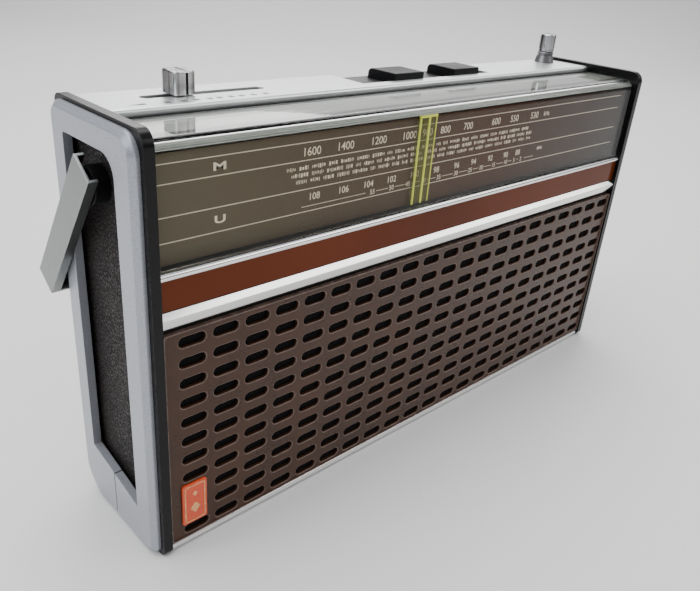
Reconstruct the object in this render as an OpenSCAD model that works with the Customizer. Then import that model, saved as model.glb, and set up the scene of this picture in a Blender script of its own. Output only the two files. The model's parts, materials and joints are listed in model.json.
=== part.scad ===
// Portable transistor radio with a folding carrying handle, a full-width dial behind an
// L-shaped clear cover, a slotted speaker grille and a telescopic antenna.
//
// Millimetres. X runs to the right as seen from the front, Y to the back and Z up. The
// origin is under the middle of the whole radio, on the surface that it stands on.
// Depths (d) are counted from the front edge of the end plates towards the back.

/* [Case] */
// Width over the outer faces of the two end plates
body_w = 275; // [275:0.5:279]
// Height of the end plates
body_h = 150; // [149.5:0.1:150.5]
// Depth of the end plates from front to back
body_d = 55; // [54.8:0.1:56]
// Thickness of each end plate
plate_t = 3.4; // [3:0.1:3.4]
// Thickness of the moulded case walls
wall = 2; // [1.8:0.1:2]

/* [End frames] */
// Thickness of the silver frame on each end
frame_t = 3; // [2:0.1:3.2]
// Width of the sloping flank around the frame
frame_flank = 1.7; // [1:0.1:2.2]
// Rise of the window's lower edge from front to back
window_rise = 7.5; // [0:0.5:9]
// Width of the split in the frame's lower bar
frame_split = 0.5; // [0.3:0.1:1]

/* [Front] */
// Number of columns of slots in the grille
grille_cols = 21; // [11:1:21]
// Number of rows of slots in the grille
grille_rows = 11; // [6:1:11]
// Distance between slots along a row
slot_pitch_x = 12.6; // [11.5:0.05:12.6]
// Distance between rows of slots
slot_pitch_z = 7.6; // [6:0.05:7.6]
// Length of a slot
slot_l = 9.9; // [5:0.1:10]
// Height of a slot
slot_h = 3.7; // [2:0.1:4]

/* [Dial] */
// Thickness of the clear cover
cover_t = 1.8; // [1.4:0.1:1.8]
// Place of the pointer along the dial, from the middle
pointer_x = -19.9; // [-70:0.1:50]
// Width of the pointer
pointer_w = 9.4; // [6:0.2:10]

/* [Controls] */
// Place of the volume slider, from the middle
volume_x = -101; // [-112:0.5:-70]
// Width of one push key
key_w = 17.6; // [15:0.1:18]
// Depth of one push key
key_d = 16; // [14:0.1:16]
// Diameter of the tuning knob
knob_dia = 26; // [20:0.5:28]

/* [Antenna] */
// Diameter of the cap on the antenna's tip
tip_dia = 8; // [7:0.1:8.4]
// Length of each telescopic section
section_l = 130; // [90:1:132]

/* [Handle] */
// Angle of the folded handle, from hanging straight down
fold_angle = 37; // [35:0.5:38]
// Width of the handle's metal strip
strip_w = 10.6; // [9:0.1:11]
// Distance from the pivot to the outside of the crossbar
arm_l = 53.4; // [52.8:0.1:54]

/* [Hidden] */
$fn = 96;
eps = 0.01;

// Case
half_w = body_w / 2;
inner_w = half_w - plate_t;
floor_z = 0.8;
top_z = body_h - 1.4;
rim_z = top_z - 1.4;
strip_z = rim_z - 1;
back_d = body_d - 0.2;
corner_r = 15;
plate_round = 3;
plate_round_top = 5;
split_d = 30;
face_d = 3.1;
lip_d = 29.5;
lip_l = 3;
lip_r = 1.3;
lip_z = top_z - 2 * lip_r;

// Window in each end
win_d0 = 12.2;
win_d1 = 44.1;
win_z0 = 16.5;
win_z1 = body_h - 9.5;
pocket_grow = 1.6;
inset_t = 0.6;
inset_in = 2.2;
frame_inset = 2;
frame_round = 4;
frame_round_top = 7;
frame_z0 = 0.6;
frame_z1 = body_h - 1.2;
split_at = 28.4;
shaft_gap = 0.4;

// Handle
pivot_d = 29.4;
pivot_z = 127.7;
pin_r = 3;
pin_head_r = 5;
hub_r = 6;
hub_start = half_w - 1.5;
hub_end = half_w + 3.4;
strip_t = 1;
flange_h = 3.2;
arm_x = half_w + 7;
arm_top = 9;
grip_r = 3.6;
grip_foot = 2;
block_h = 15;
run_clear = 0.05;
total_d = pivot_d + strip_w / 2 * cos(fold_angle) + arm_l * sin(fold_angle);
y_front = -total_d / 2;

// Front bands, from the bottom up
grille_z0 = 3.6;
grille_z1 = 87.2;
grille_d = 1.2;
grille_back = 2.6;
grille_x = inner_w - 0.2;
rim_w = 0.5;
rim_h = 0.5;
slot_shift = 2.4;
slot_z_low = 6.9;
badge_w = 9.8;
badge_h = 17.4;
badge_t = 0.9;
badge_x = -124.6;
badge_z = 18.3;
bar_mid_z0 = 89;
bar_mid_z1 = 94.6;
bar_top_z = 106.2;
bar_top_r = 1.4;
ledge_z = 107.6;

// Dial
scale_d = 6.2;
scale_t = 1;
dial_wall_d = scale_d + scale_t;
dial_top_z = 141.5;
cover_d = 1.6;
cover_end_w = inner_w - 0.2;
cover_r = 4.6;
surround_x = inner_w - 0.9;
scale_x = surround_x - 0.2;
under_cover_d = cover_d + cover_t + 0.5;
under_cover_z = dial_top_z + 1.1;
rail_d = 13.5;
rail_z = 139.6;
rail_r = 1;

// Dial cord: two runs along the dial, joined round pulleys at both ends
cord_r = 0.4;
cord_z = 140;
cord_front_d = 19.5;
cord_back_d = 25.5;
cord_gap = 0.2;
cord_join = 0.1;
turn_r = (cord_back_d - cord_front_d) / 2;
left_turn_x = -122;
drop_x = 118;
small_pulley_r = 5;
drum_r = 14;
spindle_r = 3.5;
shaft_d = 28.15;
shaft_z = 68;
shaft_r = 2;

// Controls on the top
slot_x0 = -115;
slot_x1 = -67;
slot_d = 43.3;
slot_w = 4.4;
recess_x0 = -24;
recess_x1 = 57;
recess_d = 35.5;
key_xs = [-6, 31.5];
key_top_z = top_z + 2.6;
key_clear = 0.3;
unit_top_z = 139;
spring_z0 = 125;
spring_z1 = 133;
spring_coils = 8;
spring_r = 1.8;
spring_wire = 0.4;
spring_wave = 0.5;

// Antenna
ant_x = 120;
ant_d = 47.5;
tube_foot_z = 20;
collar_h = 5.2;
tube_rs = [[2.95, 3.3], [2.5, 2.9], [2.05, 2.45], [1.6, 2.0]];
rod_r = 1.55;
nest_z = top_z + collar_h - 1 - section_l;

// Loudspeaker
spk_x = -88;
spk_z = 47;
spk_r = 42;

// Power supply
bay_x0 = -44;
bay_x1 = 112;
bay_d0 = 23.5;
bay_d1 = back_d - wall - 0.3;
bay_z0 = 3.1;
bay_r = corner_r - 0.9 - wall;
bay_z1 = 60;
bay_t = 1.2;
cell_r = 13;
cell_l = 47.6;
cell_pitch = 49.5;
cell_d = bay_d0 + bay_t + cell_r + 0.2;
cell_zs = [17.6, 45.4];
door_x0 = -40;
door_x1 = 108;
door_z0 = 5.2;
door_z1 = 57;
door_gap = 0.4;
hinge_d = 49.6;
hinge_z = 5.5;
hinge_r = 0.6;

// Screws, sockets and the board
post_xs = [-128, 128];
post_zs = [18.6, 95];
socket_x = -112;
socket_z = 100;
socket_r = 1.8;
board_x0 = -30;
board_x1 = 112;
board_d = 21.5;
board_t = 1.6;
board_z0 = 62;
board_z1 = 106;
board_post_xs = [-25, 106];
board_post_z = 82;
rib_xs = [-30, 34, 98];
rib_top_z = 50;
ferrite_d = 45;
ferrite_z = 112;
ferrite_r = 4.5;

// ---- Helpers ----

// A box given by its limits along X, in depth and in height
module block(xs, ds, zs)
  translate([xs[0], y_front + ds[0], zs[0]])
    cube([xs[1] - xs[0], ds[1] - ds[0], zs[1] - zs[0]]);

// An outline in depth and height, run along X
module along_x(x0, x1)
  translate([x0, y_front, 0])
    rotate([90, 0, 90])
      linear_extrude(x1 - x0)
        children();

// A round bar along X
module bar_x(x0, x1, d, z, r)
  translate([x0, y_front + d, z])
    rotate([0, 90, 0])
      cylinder(r = r, h = x1 - x0);

// A round bar along Y
module bar_y(x, d0, d1, z, r)
  translate([x, y_front + d0, z])
    rotate([-90, 0, 0])
      cylinder(r = r, h = d1 - d0);

// Turned shape about Y: the profile's height is depth
module turned_y(x, z)
  translate([x, y_front, z])
    rotate([-90, 0, 0])
      rotate_extrude()
        children();

// Rectangle with true round corners; radii go lower front, lower back, upper back, upper front
module rounded(d0, z0, d1, z1, r) {
  polygon([
    [d0 + r[0], z0], [d1 - r[1], z0], [d1, z0 + r[1]], [d1, z1 - r[2]],
    [d1 - r[2], z1], [d0 + r[3], z1], [d0, z1 - r[3]], [d0, z0 + r[0]]
  ]);
  centres = [
    [d0 + r[0], z0 + r[0]], [d1 - r[1], z0 + r[1]],
    [d1 - r[2], z1 - r[2]], [d0 + r[3], z1 - r[3]]
  ];
  for (i = [0:3])
    if (r[i] > 0)
      translate(centres[i])
        circle(r = r[i]);
}

// Straight round rod between two points, a little short of both
module rod(p, q, r, short) {
  v = q - p;
  translate(p)
    rotate([0, acos(v[2] / norm(v)), atan2(v[1], v[0])])
      translate([0, 0, short])
        cylinder(r = r, h = norm(v) - 2 * short);
}

module both_ends() {
  children();
  mirror([1, 0, 0])
    children();
}

// ---- Ends of the case, drawn for the right-hand end ----

module end_outline()
  rounded(0, 0, body_d, body_h, [plate_round, corner_r, plate_round, plate_round_top]);

module window_outline(grow)
  difference() {
    rounded(win_d0 - grow, win_z0 - grow, win_d1 + grow, win_z1 + grow, [1, 1, 1, 7]);
    polygon([
      [win_d0 - grow - 1, win_z0 - grow - 1],
      [win_d1 + grow + 1, win_z0 - grow - 1],
      [win_d1 + grow + 1, win_z0 - grow + window_rise],
      [win_d0 - grow - 1, win_z0 - grow]
    ]);
  }

module end_plate()
  difference() {
    along_x(inner_w, half_w)
      end_outline();
    along_x(half_w - inset_in, half_w + 1)
      window_outline(pocket_grow);
    bar_x(inner_w - 1, half_w + 1, pivot_d, pivot_z, pin_r);
  }

module frame_layer(x0, x1, in)
  along_x(x0, x1)
    rounded(frame_inset + in, frame_z0 + in, body_d - frame_inset - in, frame_z1 - in,
            [frame_round, corner_r - frame_inset - in, frame_round - in / 2, frame_round_top - in],
            $fn = 32);

module side_frame()
  difference() {
    hull() {
      frame_layer(half_w, half_w + frame_t - frame_flank, 0);
      frame_layer(half_w, half_w + frame_t, frame_flank);
    }
    along_x(half_w - 1, half_w + frame_t + 1)
      window_outline(0);
    block([half_w - 1, half_w + frame_t + 1], [split_at, split_at + frame_split], [-1, 30]);
  }

module side_inset()
  difference() {
    along_x(half_w - inset_in, half_w - inset_in + inset_t)
      window_outline(pocket_grow);
    bar_x(inner_w, half_w, pivot_d, pivot_z, pin_r);
  }

module left_end_plate()
  color([0.03, 0.03, 0.035])
    mirror([1, 0, 0])
      end_plate();

module right_end_plate()
  color([0.03, 0.03, 0.035])
    difference() {
      end_plate();
      bar_x(inner_w - 1, half_w, shaft_d, shaft_z, shaft_r + run_clear);
    }

module left_side_frame()
  color([0.62, 0.64, 0.68])
    mirror([1, 0, 0])
      side_frame();

module right_side_frame()
  color([0.62, 0.64, 0.68])
    side_frame();

module left_side_inset()
  color([0.09, 0.06, 0.05])
    mirror([1, 0, 0])
      side_inset();

module right_side_inset()
  color([0.09, 0.06, 0.05])
    difference() {
      side_inset();
      bar_x(inner_w, half_w, shaft_d, shaft_z, shaft_r + shaft_gap);
    }

// ---- Case shells ----

module front_housing()
  color([0.05, 0.045, 0.04])
    difference() {
      union() {
        along_x(-inner_w, inner_w)
          polygon([
            [face_d, floor_z], [split_d, floor_z], [split_d, floor_z + wall],
            [face_d + wall, floor_z + wall], [face_d + wall, ledge_z - wall],
            [dial_wall_d + 1.5, ledge_z - wall], [dial_wall_d + 1.5, dial_top_z],
            [dial_wall_d, dial_top_z], [dial_wall_d, ledge_z], [face_d, ledge_z]
          ]);
        for (x = post_xs, z = post_zs)
          bar_y(x, face_d + wall - eps, back_d - wall, z, 3.2);
        for (x = board_post_xs)
          bar_y(x, face_d + wall - eps, board_d, board_post_z, 3);
        for (x = rib_xs)
          block([x - 1, x + 1], [face_d + wall - eps, bay_d0], [floor_z + wall - eps, rib_top_z]);
      }
      bar_y(spk_x, 0, split_d, spk_z, spk_r - 6);
      for (x = post_xs, z = post_zs)
        bar_y(x, 38, back_d, z, 1.2);
    }

module back_profile()
  difference() {
    rounded(split_d, floor_z, back_d, rim_z, [0, corner_r - 0.6, 0.6, 0]);
    rounded(split_d - 5, floor_z + wall, back_d - wall, rim_z + 5,
            [0, corner_r - 0.6 - wall, 0, 0]);
  }

module rear_cover()
  color([0.05, 0.045, 0.045])
    difference() {
      along_x(-inner_w, inner_w)
        back_profile();
      block([door_x0, door_x1], [split_d, body_d + 1], [door_z0 - 1.4, door_z1]);
      bar_x(door_x0 - 1.6, door_x1 + 1.6, hinge_d, hinge_z, hinge_r + run_clear);
      for (i = [0:9])
        block([spk_x - 25, spk_x + 25], [back_d - wall - 1, body_d], [26 + 4 * i, 27.6 + 4 * i]);
      bar_y(socket_x, back_d - wall - 1, body_d, socket_z, 4);
      for (x = post_xs, z = post_zs) {
        bar_y(x, back_d - wall - 1, body_d, z, 1.2);
        bar_y(x, back_d - 1.2, body_d, z, 2.8);
      }
    }

module top_frame()
  color([0.16, 0.17, 0.15])
    difference() {
      union() {
        block([-inner_w, inner_w], [lip_d - 0.2, lip_d + 4], [rim_z - 2.4, lip_z]);
        block([-inner_w, inner_w], [lip_d + lip_l, back_d - wall], [rim_z - 2.4, rim_z]);
      }
      block([slot_x0 - 2, slot_x1 + 2], [slot_d - 1.7, slot_d + 1.7], [rim_z - 5, rim_z + 1]);
      for (x = key_xs)
        block([x - key_clear, x + key_w + key_clear],
              [recess_d, recess_d + key_d + 2 * key_clear], [rim_z - 5, rim_z + 1]);
      translate([ant_x, y_front + ant_d, rim_z - 5])
        cylinder(r = 3.6, h = 10);
    }

module top_plate()
  color([0.84, 0.87, 0.87])
    difference() {
      along_x(-inner_w, inner_w) {
        rounded(lip_d, lip_z, lip_d + lip_l, top_z, [0.4, 0, 0, lip_r]);
        translate([lip_d + lip_l - 1, rim_z])
          square([back_d - lip_d - lip_l + 1, top_z - rim_z]);
      }
      block([recess_x0, recess_x1], [recess_d, body_d], [rim_z - 1, top_z + 1]);
      block([slot_x0 + slot_w / 2, slot_x1 - slot_w / 2],
            [slot_d - slot_w / 2, slot_d + slot_w / 2], [rim_z - 1, top_z + 1]);
      for (x = [slot_x0 + slot_w / 2, slot_x1 - slot_w / 2])
        translate([x, y_front + slot_d, rim_z - 1])
          cylinder(d = slot_w, h = 4);
      translate([ant_x, y_front + ant_d, rim_z - 1])
        cylinder(r = 3.6, h = 4);
    }

// ---- Front trims and grille ----

module trim_bar_upper()
  color([0.85, 0.85, 0.83])
    along_x(-inner_w, inner_w)
      intersection() {
        translate([face_d - 1, bar_top_z])
          circle(r = bar_top_r);
        translate([0, bar_top_z - bar_top_r])
          square([face_d, 2 * bar_top_r]);
      }

module gloss_band()
  color([0.16, 0.05, 0.02])
    block([-inner_w, inner_w], [face_d - 1.2, face_d], [bar_mid_z1 + 0.2, bar_top_z - 1.5]);

module trim_bar_middle()
  color([0.85, 0.85, 0.83])
    along_x(-inner_w, inner_w)
      polygon([
        [face_d, bar_mid_z0], [face_d, bar_mid_z1], [face_d - 1.2, bar_mid_z1],
        [0.3, bar_mid_z1 - 2], [0.3, bar_mid_z1 - 2.4], [face_d - 1.6, bar_mid_z0]
      ]);

module trim_bar_lower()
  color([0.85, 0.85, 0.83])
    along_x(-inner_w, inner_w)
      rounded(1, floor_z + 0.1, face_d, grille_z0 - 0.2, [0.8, 0, 0, 0.8]);

module grille_slot(x, z)
  translate([x, z]) {
    square([slot_l - slot_h, slot_h], center = true);
    for (s = [-1, 1])
      translate([s * (slot_l - slot_h) / 2, 0])
        circle(d = slot_h);
  }

// The badge hides two slots in the lower left corner
function under_badge(c, r) = c == 0 && (r == 1 || r == 2);

module speaker_grille()
  color([0.2, 0.1, 0.05])
    translate([0, y_front + grille_back, 0])
      rotate([90, 0, 0]) {
        linear_extrude(grille_back - grille_d)
          difference() {
            translate([-grille_x, grille_z0])
              square([2 * grille_x, grille_z1 - grille_z0]);
            for (c = [0:grille_cols - 1], r = [0:grille_rows - 1])
              if (!under_badge(c, r))
                grille_slot(slot_shift + (c - (grille_cols - 1) / 2) * slot_pitch_x,
                            slot_z_low + r * slot_pitch_z);
          }
        translate([0, 0, grille_back - grille_d])
          linear_extrude(rim_h)
            difference() {
              translate([-grille_x, grille_z0])
                square([2 * grille_x, grille_z1 - grille_z0]);
              translate([-grille_x + rim_w, grille_z0 + rim_w])
                square([2 * (grille_x - rim_w), grille_z1 - grille_z0 - 2 * rim_w]);
            }
      }

module grille_cloth()
  color([0.02, 0.02, 0.02])
    block([-inner_w + 1, inner_w - 1], [grille_back, face_d], [grille_z0 + 0.4, grille_z1 - 0.2]);

module badge()
  color([0.85, 0.22, 0.05])
    translate([badge_x, y_front + grille_d, badge_z])
      rotate([90, 0, 0])
        linear_extrude(badge_t)
          rounded(-badge_w / 2, -badge_h / 2, badge_w / 2, badge_h / 2, [1, 1, 1, 1]);

// ---- Dial ----

module dial_cover()
  color([0.75, 0.78, 0.76, 0.35])
    along_x(-cover_end_w, cover_end_w)
      difference() {
        rounded(cover_d, ledge_z + 0.2, lip_d - 0.3, strip_z, [0.3, 0, 0, cover_r]);
        rounded(cover_d + cover_t, ledge_z - 5, lip_d + 5, strip_z - cover_t,
                [0, 0, 0, cover_r - cover_t]);
      }

module dial_scale()
  color([0.2, 0.15, 0.1])
    block([-scale_x, scale_x], [scale_d, scale_d + scale_t], [ledge_z + 0.2, dial_top_z]);

module dial_surround()
  color([0.04, 0.035, 0.03]) {
    both_ends()
      block([surround_x, inner_w], [under_cover_d, dial_wall_d], [ledge_z + 0.2, under_cover_z]);
    both_ends()
      difference() {
        block([131.2, inner_w], [dial_wall_d + 1.5, 18], [ledge_z + 0.2, strip_z - cover_t - 1.1]);
        bar_x(131, inner_w + 1, rail_d, rail_z, rail_r);
      }
    block([-inner_w, inner_w], [9, lip_d - 0.3], [strip_z - cover_t - 1.1, strip_z - cover_t - 0.1]);
  }

module dial_pointer()
  color([0.75, 0.85, 0.1])
    difference() {
      translate([pointer_x, 0, 0]) {
        block([-pointer_w / 2, pointer_w / 2], [under_cover_d, scale_d - 0.3],
              [ledge_z + 1, under_cover_z]);
        block([-3, 3], [scale_d - 0.4, 18.6], [dial_top_z + 0.3, under_cover_z]);
        block([-5, 5], [11, 18.6], [rail_z - 2.2, dial_top_z + 0.4]);
      }
      bar_x(pointer_x - 10, pointer_x + 10, rail_d, rail_z, rail_r + run_clear);
    }

module pointer_rail()
  color([0.7, 0.7, 0.7])
    bar_x(-inner_w, inner_w, rail_d, rail_z, rail_r);

// Where the cord leaves one guide and meets the next
front_left = [left_turn_x, y_front + cord_front_d, cord_z];
front_right = [drop_x - small_pulley_r, y_front + cord_front_d, cord_z];
front_drop = [drop_x, y_front + cord_front_d, cord_z - small_pulley_r];
front_spindle = [drop_x, y_front + shaft_d - spindle_r, shaft_z];
back_spindle = [drop_x, y_front + shaft_d + spindle_r, shaft_z];
back_drop = [drop_x, y_front + cord_back_d, cord_z - drum_r];
back_right = [drop_x - drum_r, y_front + cord_back_d, cord_z];
back_left = [left_turn_x, y_front + cord_back_d, cord_z];

// A bend of the cord: part of a ring about local Z, from the given angle on
module bend(r, from, sweep)
  rotate([0, 0, from])
    rotate_extrude(angle = sweep)
      translate([r, 0])
        circle(r = cord_r, $fn = 24);

module dial_cord()
  color([0.8, 0.75, 0.6]) {
    for (run = [[front_left, front_right], [front_drop, front_spindle],
                [back_spindle, back_drop], [back_right, back_left]]) {
      rod(run[0], run[1], cord_r, cord_join, $fn = 24);
      for (end = run)
        translate(end)
          sphere(r = cord_r + cord_join, $fn = 24);
    }
    translate([left_turn_x, y_front + (cord_front_d + cord_back_d) / 2, cord_z])
      bend(turn_r, 90, 180);
    translate([drop_x - small_pulley_r, y_front + cord_front_d, cord_z - small_pulley_r])
      rotate([90, 0, 0])
        bend(small_pulley_r, 0, 90);
    translate([drop_x - drum_r, y_front + cord_back_d, cord_z - drum_r])
      rotate([90, 0, 0])
        bend(drum_r, 0, 90);
    translate([drop_x, y_front + shaft_d, shaft_z])
      rotate([90, 0, 90])
        bend(spindle_r, 180, 180);
  }

// Half profile of a grooved wheel on local Z, for a cord whose centre runs at radius r
module pulley_profile(r, bore, half_t) {
  groove = r - cord_r - cord_gap;
  rim = r + cord_r + 0.2;
  polygon([
    [bore, -half_t], [rim, -half_t], [rim, -half_t + 0.6], [groove, -half_t + 0.8],
    [groove, half_t - 0.8], [rim, half_t - 0.6], [rim, half_t], [bore, half_t]
  ]);
}

module cord_pulley_left()
  color([0.9, 0.9, 0.85])
    translate([left_turn_x, y_front + (cord_front_d + cord_back_d) / 2, cord_z])
      rotate_extrude()
        pulley_profile(turn_r, 1 + run_clear, 1.5);

module cord_pulley_right()
  color([0.9, 0.9, 0.85])
    translate([drop_x - small_pulley_r, y_front + cord_front_d, cord_z - small_pulley_r])
      rotate([-90, 0, 0])
        rotate_extrude()
          pulley_profile(small_pulley_r, 1 + run_clear, 1.5);

module dial_drum()
  color([0.9, 0.9, 0.85]) {
    translate([drop_x - drum_r, y_front + cord_back_d, cord_z - drum_r])
      rotate([-90, 0, 0])
        rotate_extrude()
          pulley_profile(drum_r, 0, 1.5);
    bar_y(drop_x - drum_r, cord_back_d + 1.4, cord_back_d + 8, cord_z - drum_r, 2);
  }

module tuning_capacitor()
  color([0.75, 0.75, 0.72])
    difference() {
      union() {
        block([88.5, 113], [cord_back_d + 4, 44], [114, 137]);
        bar_y(drop_x - drum_r, cord_back_d + 1.9, cord_back_d + 5, cord_z - drum_r, 4);
      }
      bar_y(drop_x - drum_r, cord_back_d + 1, cord_back_d + 8.5, cord_z - drum_r, 2 + run_clear);
    }

module tuning_shaft()
  color([0.75, 0.72, 0.55])
    translate([0, y_front + shaft_d, shaft_z])
      rotate([0, 90, 0])
        rotate_extrude()
          polygon([
            [0, 107.5], [shaft_r, 107.5], [shaft_r, drop_x - 2.4], [5, drop_x - 2.4],
            [5, drop_x - 1.6], [spindle_r - cord_r - cord_gap, drop_x - 1.2],
            [spindle_r - cord_r - cord_gap, drop_x + 1.2], [5, drop_x + 1.6],
            [5, drop_x + 2.4], [shaft_r, drop_x + 2.4], [shaft_r, half_w + 3], [0, half_w + 3]
          ]);

module tuning_knob()
  color([0.05, 0.05, 0.05])
    difference() {
      union() {
        bar_x(half_w - 1.4, half_w + 4.6, shaft_d, shaft_z, knob_dia / 2 - 1);
        for (i = [0:23])
          translate([half_w - 1, y_front + shaft_d, shaft_z])
            rotate([i * 15, 0, 0])
              translate([0, knob_dia / 2 - 2, -0.8])
                cube([5, 2, 1.6]);
        bar_x(half_w + 4.5, half_w + 5.2, shaft_d, shaft_z, knob_dia / 2 - 3);
      }
      bar_x(half_w - 2, half_w + 3, shaft_d, shaft_z, shaft_r);
    }

// Small metal brackets that carry the moving pieces inside
module inner_brackets()
  color([0.7, 0.68, 0.6]) {
    // Left pulley
    block([left_turn_x - 3, left_turn_x + 3], [dial_wall_d + 1.5, cord_back_d + 0.5],
          [cord_z - 4, cord_z - 2.5]);
    translate([left_turn_x, y_front + (cord_front_d + cord_back_d) / 2, cord_z - 2.6])
      cylinder(r = 1, h = 4.2);
    // Right pulley
    bar_y(drop_x - small_pulley_r, dial_wall_d + 1.5, cord_front_d - 1.8, cord_z - small_pulley_r, 2);
    bar_y(drop_x - small_pulley_r, cord_front_d - 2, cord_front_d + 1.8, cord_z - small_pulley_r, 1);
    // Tuning capacitor
    block([87, 88.5], [dial_wall_d + 1.5, 44], [116, 134]);
    // Tuning shaft
    difference() {
      block([107, 111.6], [board_d + board_t, shaft_d + 5], [shaft_z - 4, shaft_z + 4]);
      bar_x(107.3, 115, shaft_d, shaft_z, shaft_r + run_clear);
    }
    // Antenna foot
    block([114, 124], [42, back_d - wall], [tube_foot_z - 4, tube_foot_z]);
    // Ferrite rod
    for (x = [-100, 16])
      difference() {
        block([x, x + 4], [ferrite_d - 6, back_d - wall], [ferrite_z - 6, ferrite_z + 6]);
        bar_x(x - 1, x + 5, ferrite_d, ferrite_z, ferrite_r);
      }
  }

// ---- Loudspeaker ----

module speaker_basket()
  color([0.55, 0.55, 0.55])
    turned_y(spk_x, spk_z)
      polygon([
        [spk_r - 6, face_d + wall], [spk_r, face_d + wall], [spk_r, 7.5], [spk_r - 3, 8.5],
        [22, 22], [22, 24], [8, 24], [8, 22.6], [20.4, 22.6], [20.4, 21.4],
        [spk_r - 4.6, 7.6], [spk_r - 6, 7.2]
      ]);

module speaker_cone()
  color([0.15, 0.14, 0.13])
    turned_y(spk_x, spk_z)
      polygon([
        [0, 14.4], [5, 15.4], [9, 18], [spk_r - 9.4, 8], [spk_r - 7.8, 6.8], [spk_r - 6.1, 6.4],
        [spk_r - 6.1, 7], [spk_r - 7.5, 7.5], [spk_r - 9, 8.8], [9, 18.8], [7.4, 18.8], [7.4, 22],
        [7, 22], [7, 17.4], [4.6, 16], [0, 15]
      ]);

module speaker_magnet()
  color([0.25, 0.25, 0.26])
    turned_y(spk_x, spk_z)
      polygon([[0, 24], [18, 24], [18, 26], [20, 26], [20, 33], [18, 33], [18, 35], [0, 35]]);

// ---- Controls on the top ----

module volume_knob()
  color([0.8, 0.8, 0.82]) {
    translate([volume_x, y_front + slot_d, top_z + 0.4])
      linear_extrude(7.6)
        rounded(-4, -4.2, 4, 4.2, [1.4, 1.4, 1.4, 1.4]);
    block([volume_x - 1.5, volume_x + 1.5], [slot_d - 0.8, slot_d + 0.8], [141, top_z + 0.5]);
  }

module volume_slider_unit()
  color([0.6, 0.6, 0.58])
    difference() {
      block([slot_x0 - 7, slot_x1 + 7], [slot_d - 5, slot_d + 5], [134, rim_z - 2.4]);
      block([slot_x0 - 1, slot_x1 + 1], [slot_d - 1.2, slot_d + 1.2], [140, rim_z]);
    }

module push_key(x)
  color([0.05, 0.05, 0.055])
    union() {
      along_x(x, x + key_w)
        rounded(recess_d + key_clear, rim_z - 3.7, recess_d + key_clear + key_d, key_top_z,
                [0, 0, 2.2, 0.5]);
      block([x + key_w / 2 - 4, x + key_w / 2 + 4],
            [recess_d + key_d / 2 - 3, recess_d + key_d / 2 + 3], [spring_z1, rim_z - 3.6]);
    }

module key_left()
  push_key(key_xs[0]);

module key_right()
  push_key(key_xs[1]);

// Return spring, drawn as a stack of rings
module key_spring(x)
  color([0.7, 0.7, 0.72])
    translate([x + key_w / 2, y_front + recess_d + key_d / 2, spring_z0])
      rotate_extrude() {
        halves = 2 * spring_coils;
        step = (spring_z1 - spring_z0) / halves;
        inside = [for (i = [0:halves]) [spring_r + i % 2 * spring_wave, step * i]];
        outside = [for (i = [halves:-1:0]) inside[i] + [spring_wire, 0]];
        polygon(concat(inside, outside));
      }

module key_spring_left()
  key_spring(key_xs[0]);

module key_spring_right()
  key_spring(key_xs[1]);

module key_switch_unit()
  color([0.6, 0.58, 0.5])
    difference() {
      union() {
        block([recess_x0 + 4, recess_x1 - 1], [recess_d - 1.5, recess_d + 17], [120, unit_top_z]);
        for (x = [recess_x0 + 4, recess_x1 - 4])
          block([x, x + 3], [recess_d, recess_d + 12], [unit_top_z - 1, rim_z - 2.4]);
      }
      for (x = key_xs)
        block([x + key_w / 2 - 4.3, x + key_w / 2 + 4.3],
              [recess_d + key_d / 2 - 3.3, recess_d + key_d / 2 + 3.3], [spring_z0, unit_top_z + 1]);
    }

// ---- Antenna ----

module antenna_tube_part(i, z0, z1)
  translate([ant_x, y_front + ant_d, z0])
    difference() {
      cylinder(r = tube_rs[i][1], h = z1 - z0);
      translate([0, 0, 1])
        cylinder(r = tube_rs[i][0], h = z1 - z0);
    }

module antenna_tube()
  color([0.8, 0.8, 0.82])
    antenna_tube_part(0, tube_foot_z, top_z + collar_h - 0.6);

module antenna_collar()
  color([0.55, 0.55, 0.56])
    translate([ant_x, y_front + ant_d, top_z])
      rotate_extrude()
        polygon([
          [tube_rs[0][1], 0], [4.9, 0], [4.9, 0.8], [4.2, 3.6], [3.9, 3.8], [3.9, 4.4],
          [4.1, 4.5], [4.1, collar_h], [tube_rs[0][1], collar_h]
        ]);

module antenna_section(i)
  color([0.85, 0.85, 0.86])
    antenna_tube_part(i, nest_z + 1.1 * i, nest_z + section_l + 0.1 * i);

module antenna_section_1()
  antenna_section(1);

module antenna_section_2()
  antenna_section(2);

module antenna_section_3()
  antenna_section(3);

module antenna_tip()
  color([0.85, 0.85, 0.86])
    translate([ant_x, y_front + ant_d, 0]) {
      translate([0, 0, nest_z + 4.4])
        cylinder(r = rod_r, h = top_z + collar_h - nest_z - 4);
      translate([0, 0, top_z + collar_h + 0.2])
        rotate_extrude()
          polygon([
            [0, 0], [tip_dia / 2 - 0.3, 0], [tip_dia / 2, 0.3], [tip_dia / 2, 8.2],
            [tip_dia / 2 - 0.5, 8.6], [0, 8.6]
          ]);
    }

module ferrite_rod()
  color([0.12, 0.12, 0.12])
    bar_x(-118, 32, ferrite_d, ferrite_z, ferrite_r);

module ferrite_coils()
  color([0.7, 0.35, 0.12])
    for (x = [[-86, -56], [-14, 4]])
      difference() {
        bar_x(x[0], x[1], ferrite_d, ferrite_z, ferrite_r + 1);
        bar_x(x[0] - 1, x[1] + 1, ferrite_d, ferrite_z, ferrite_r);
      }

// ---- Circuit ----

module circuit_board()
  color([0.45, 0.3, 0.12])
    block([board_x0, board_x1], [board_d, board_d + board_t], [board_z0, board_z1]);

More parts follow.
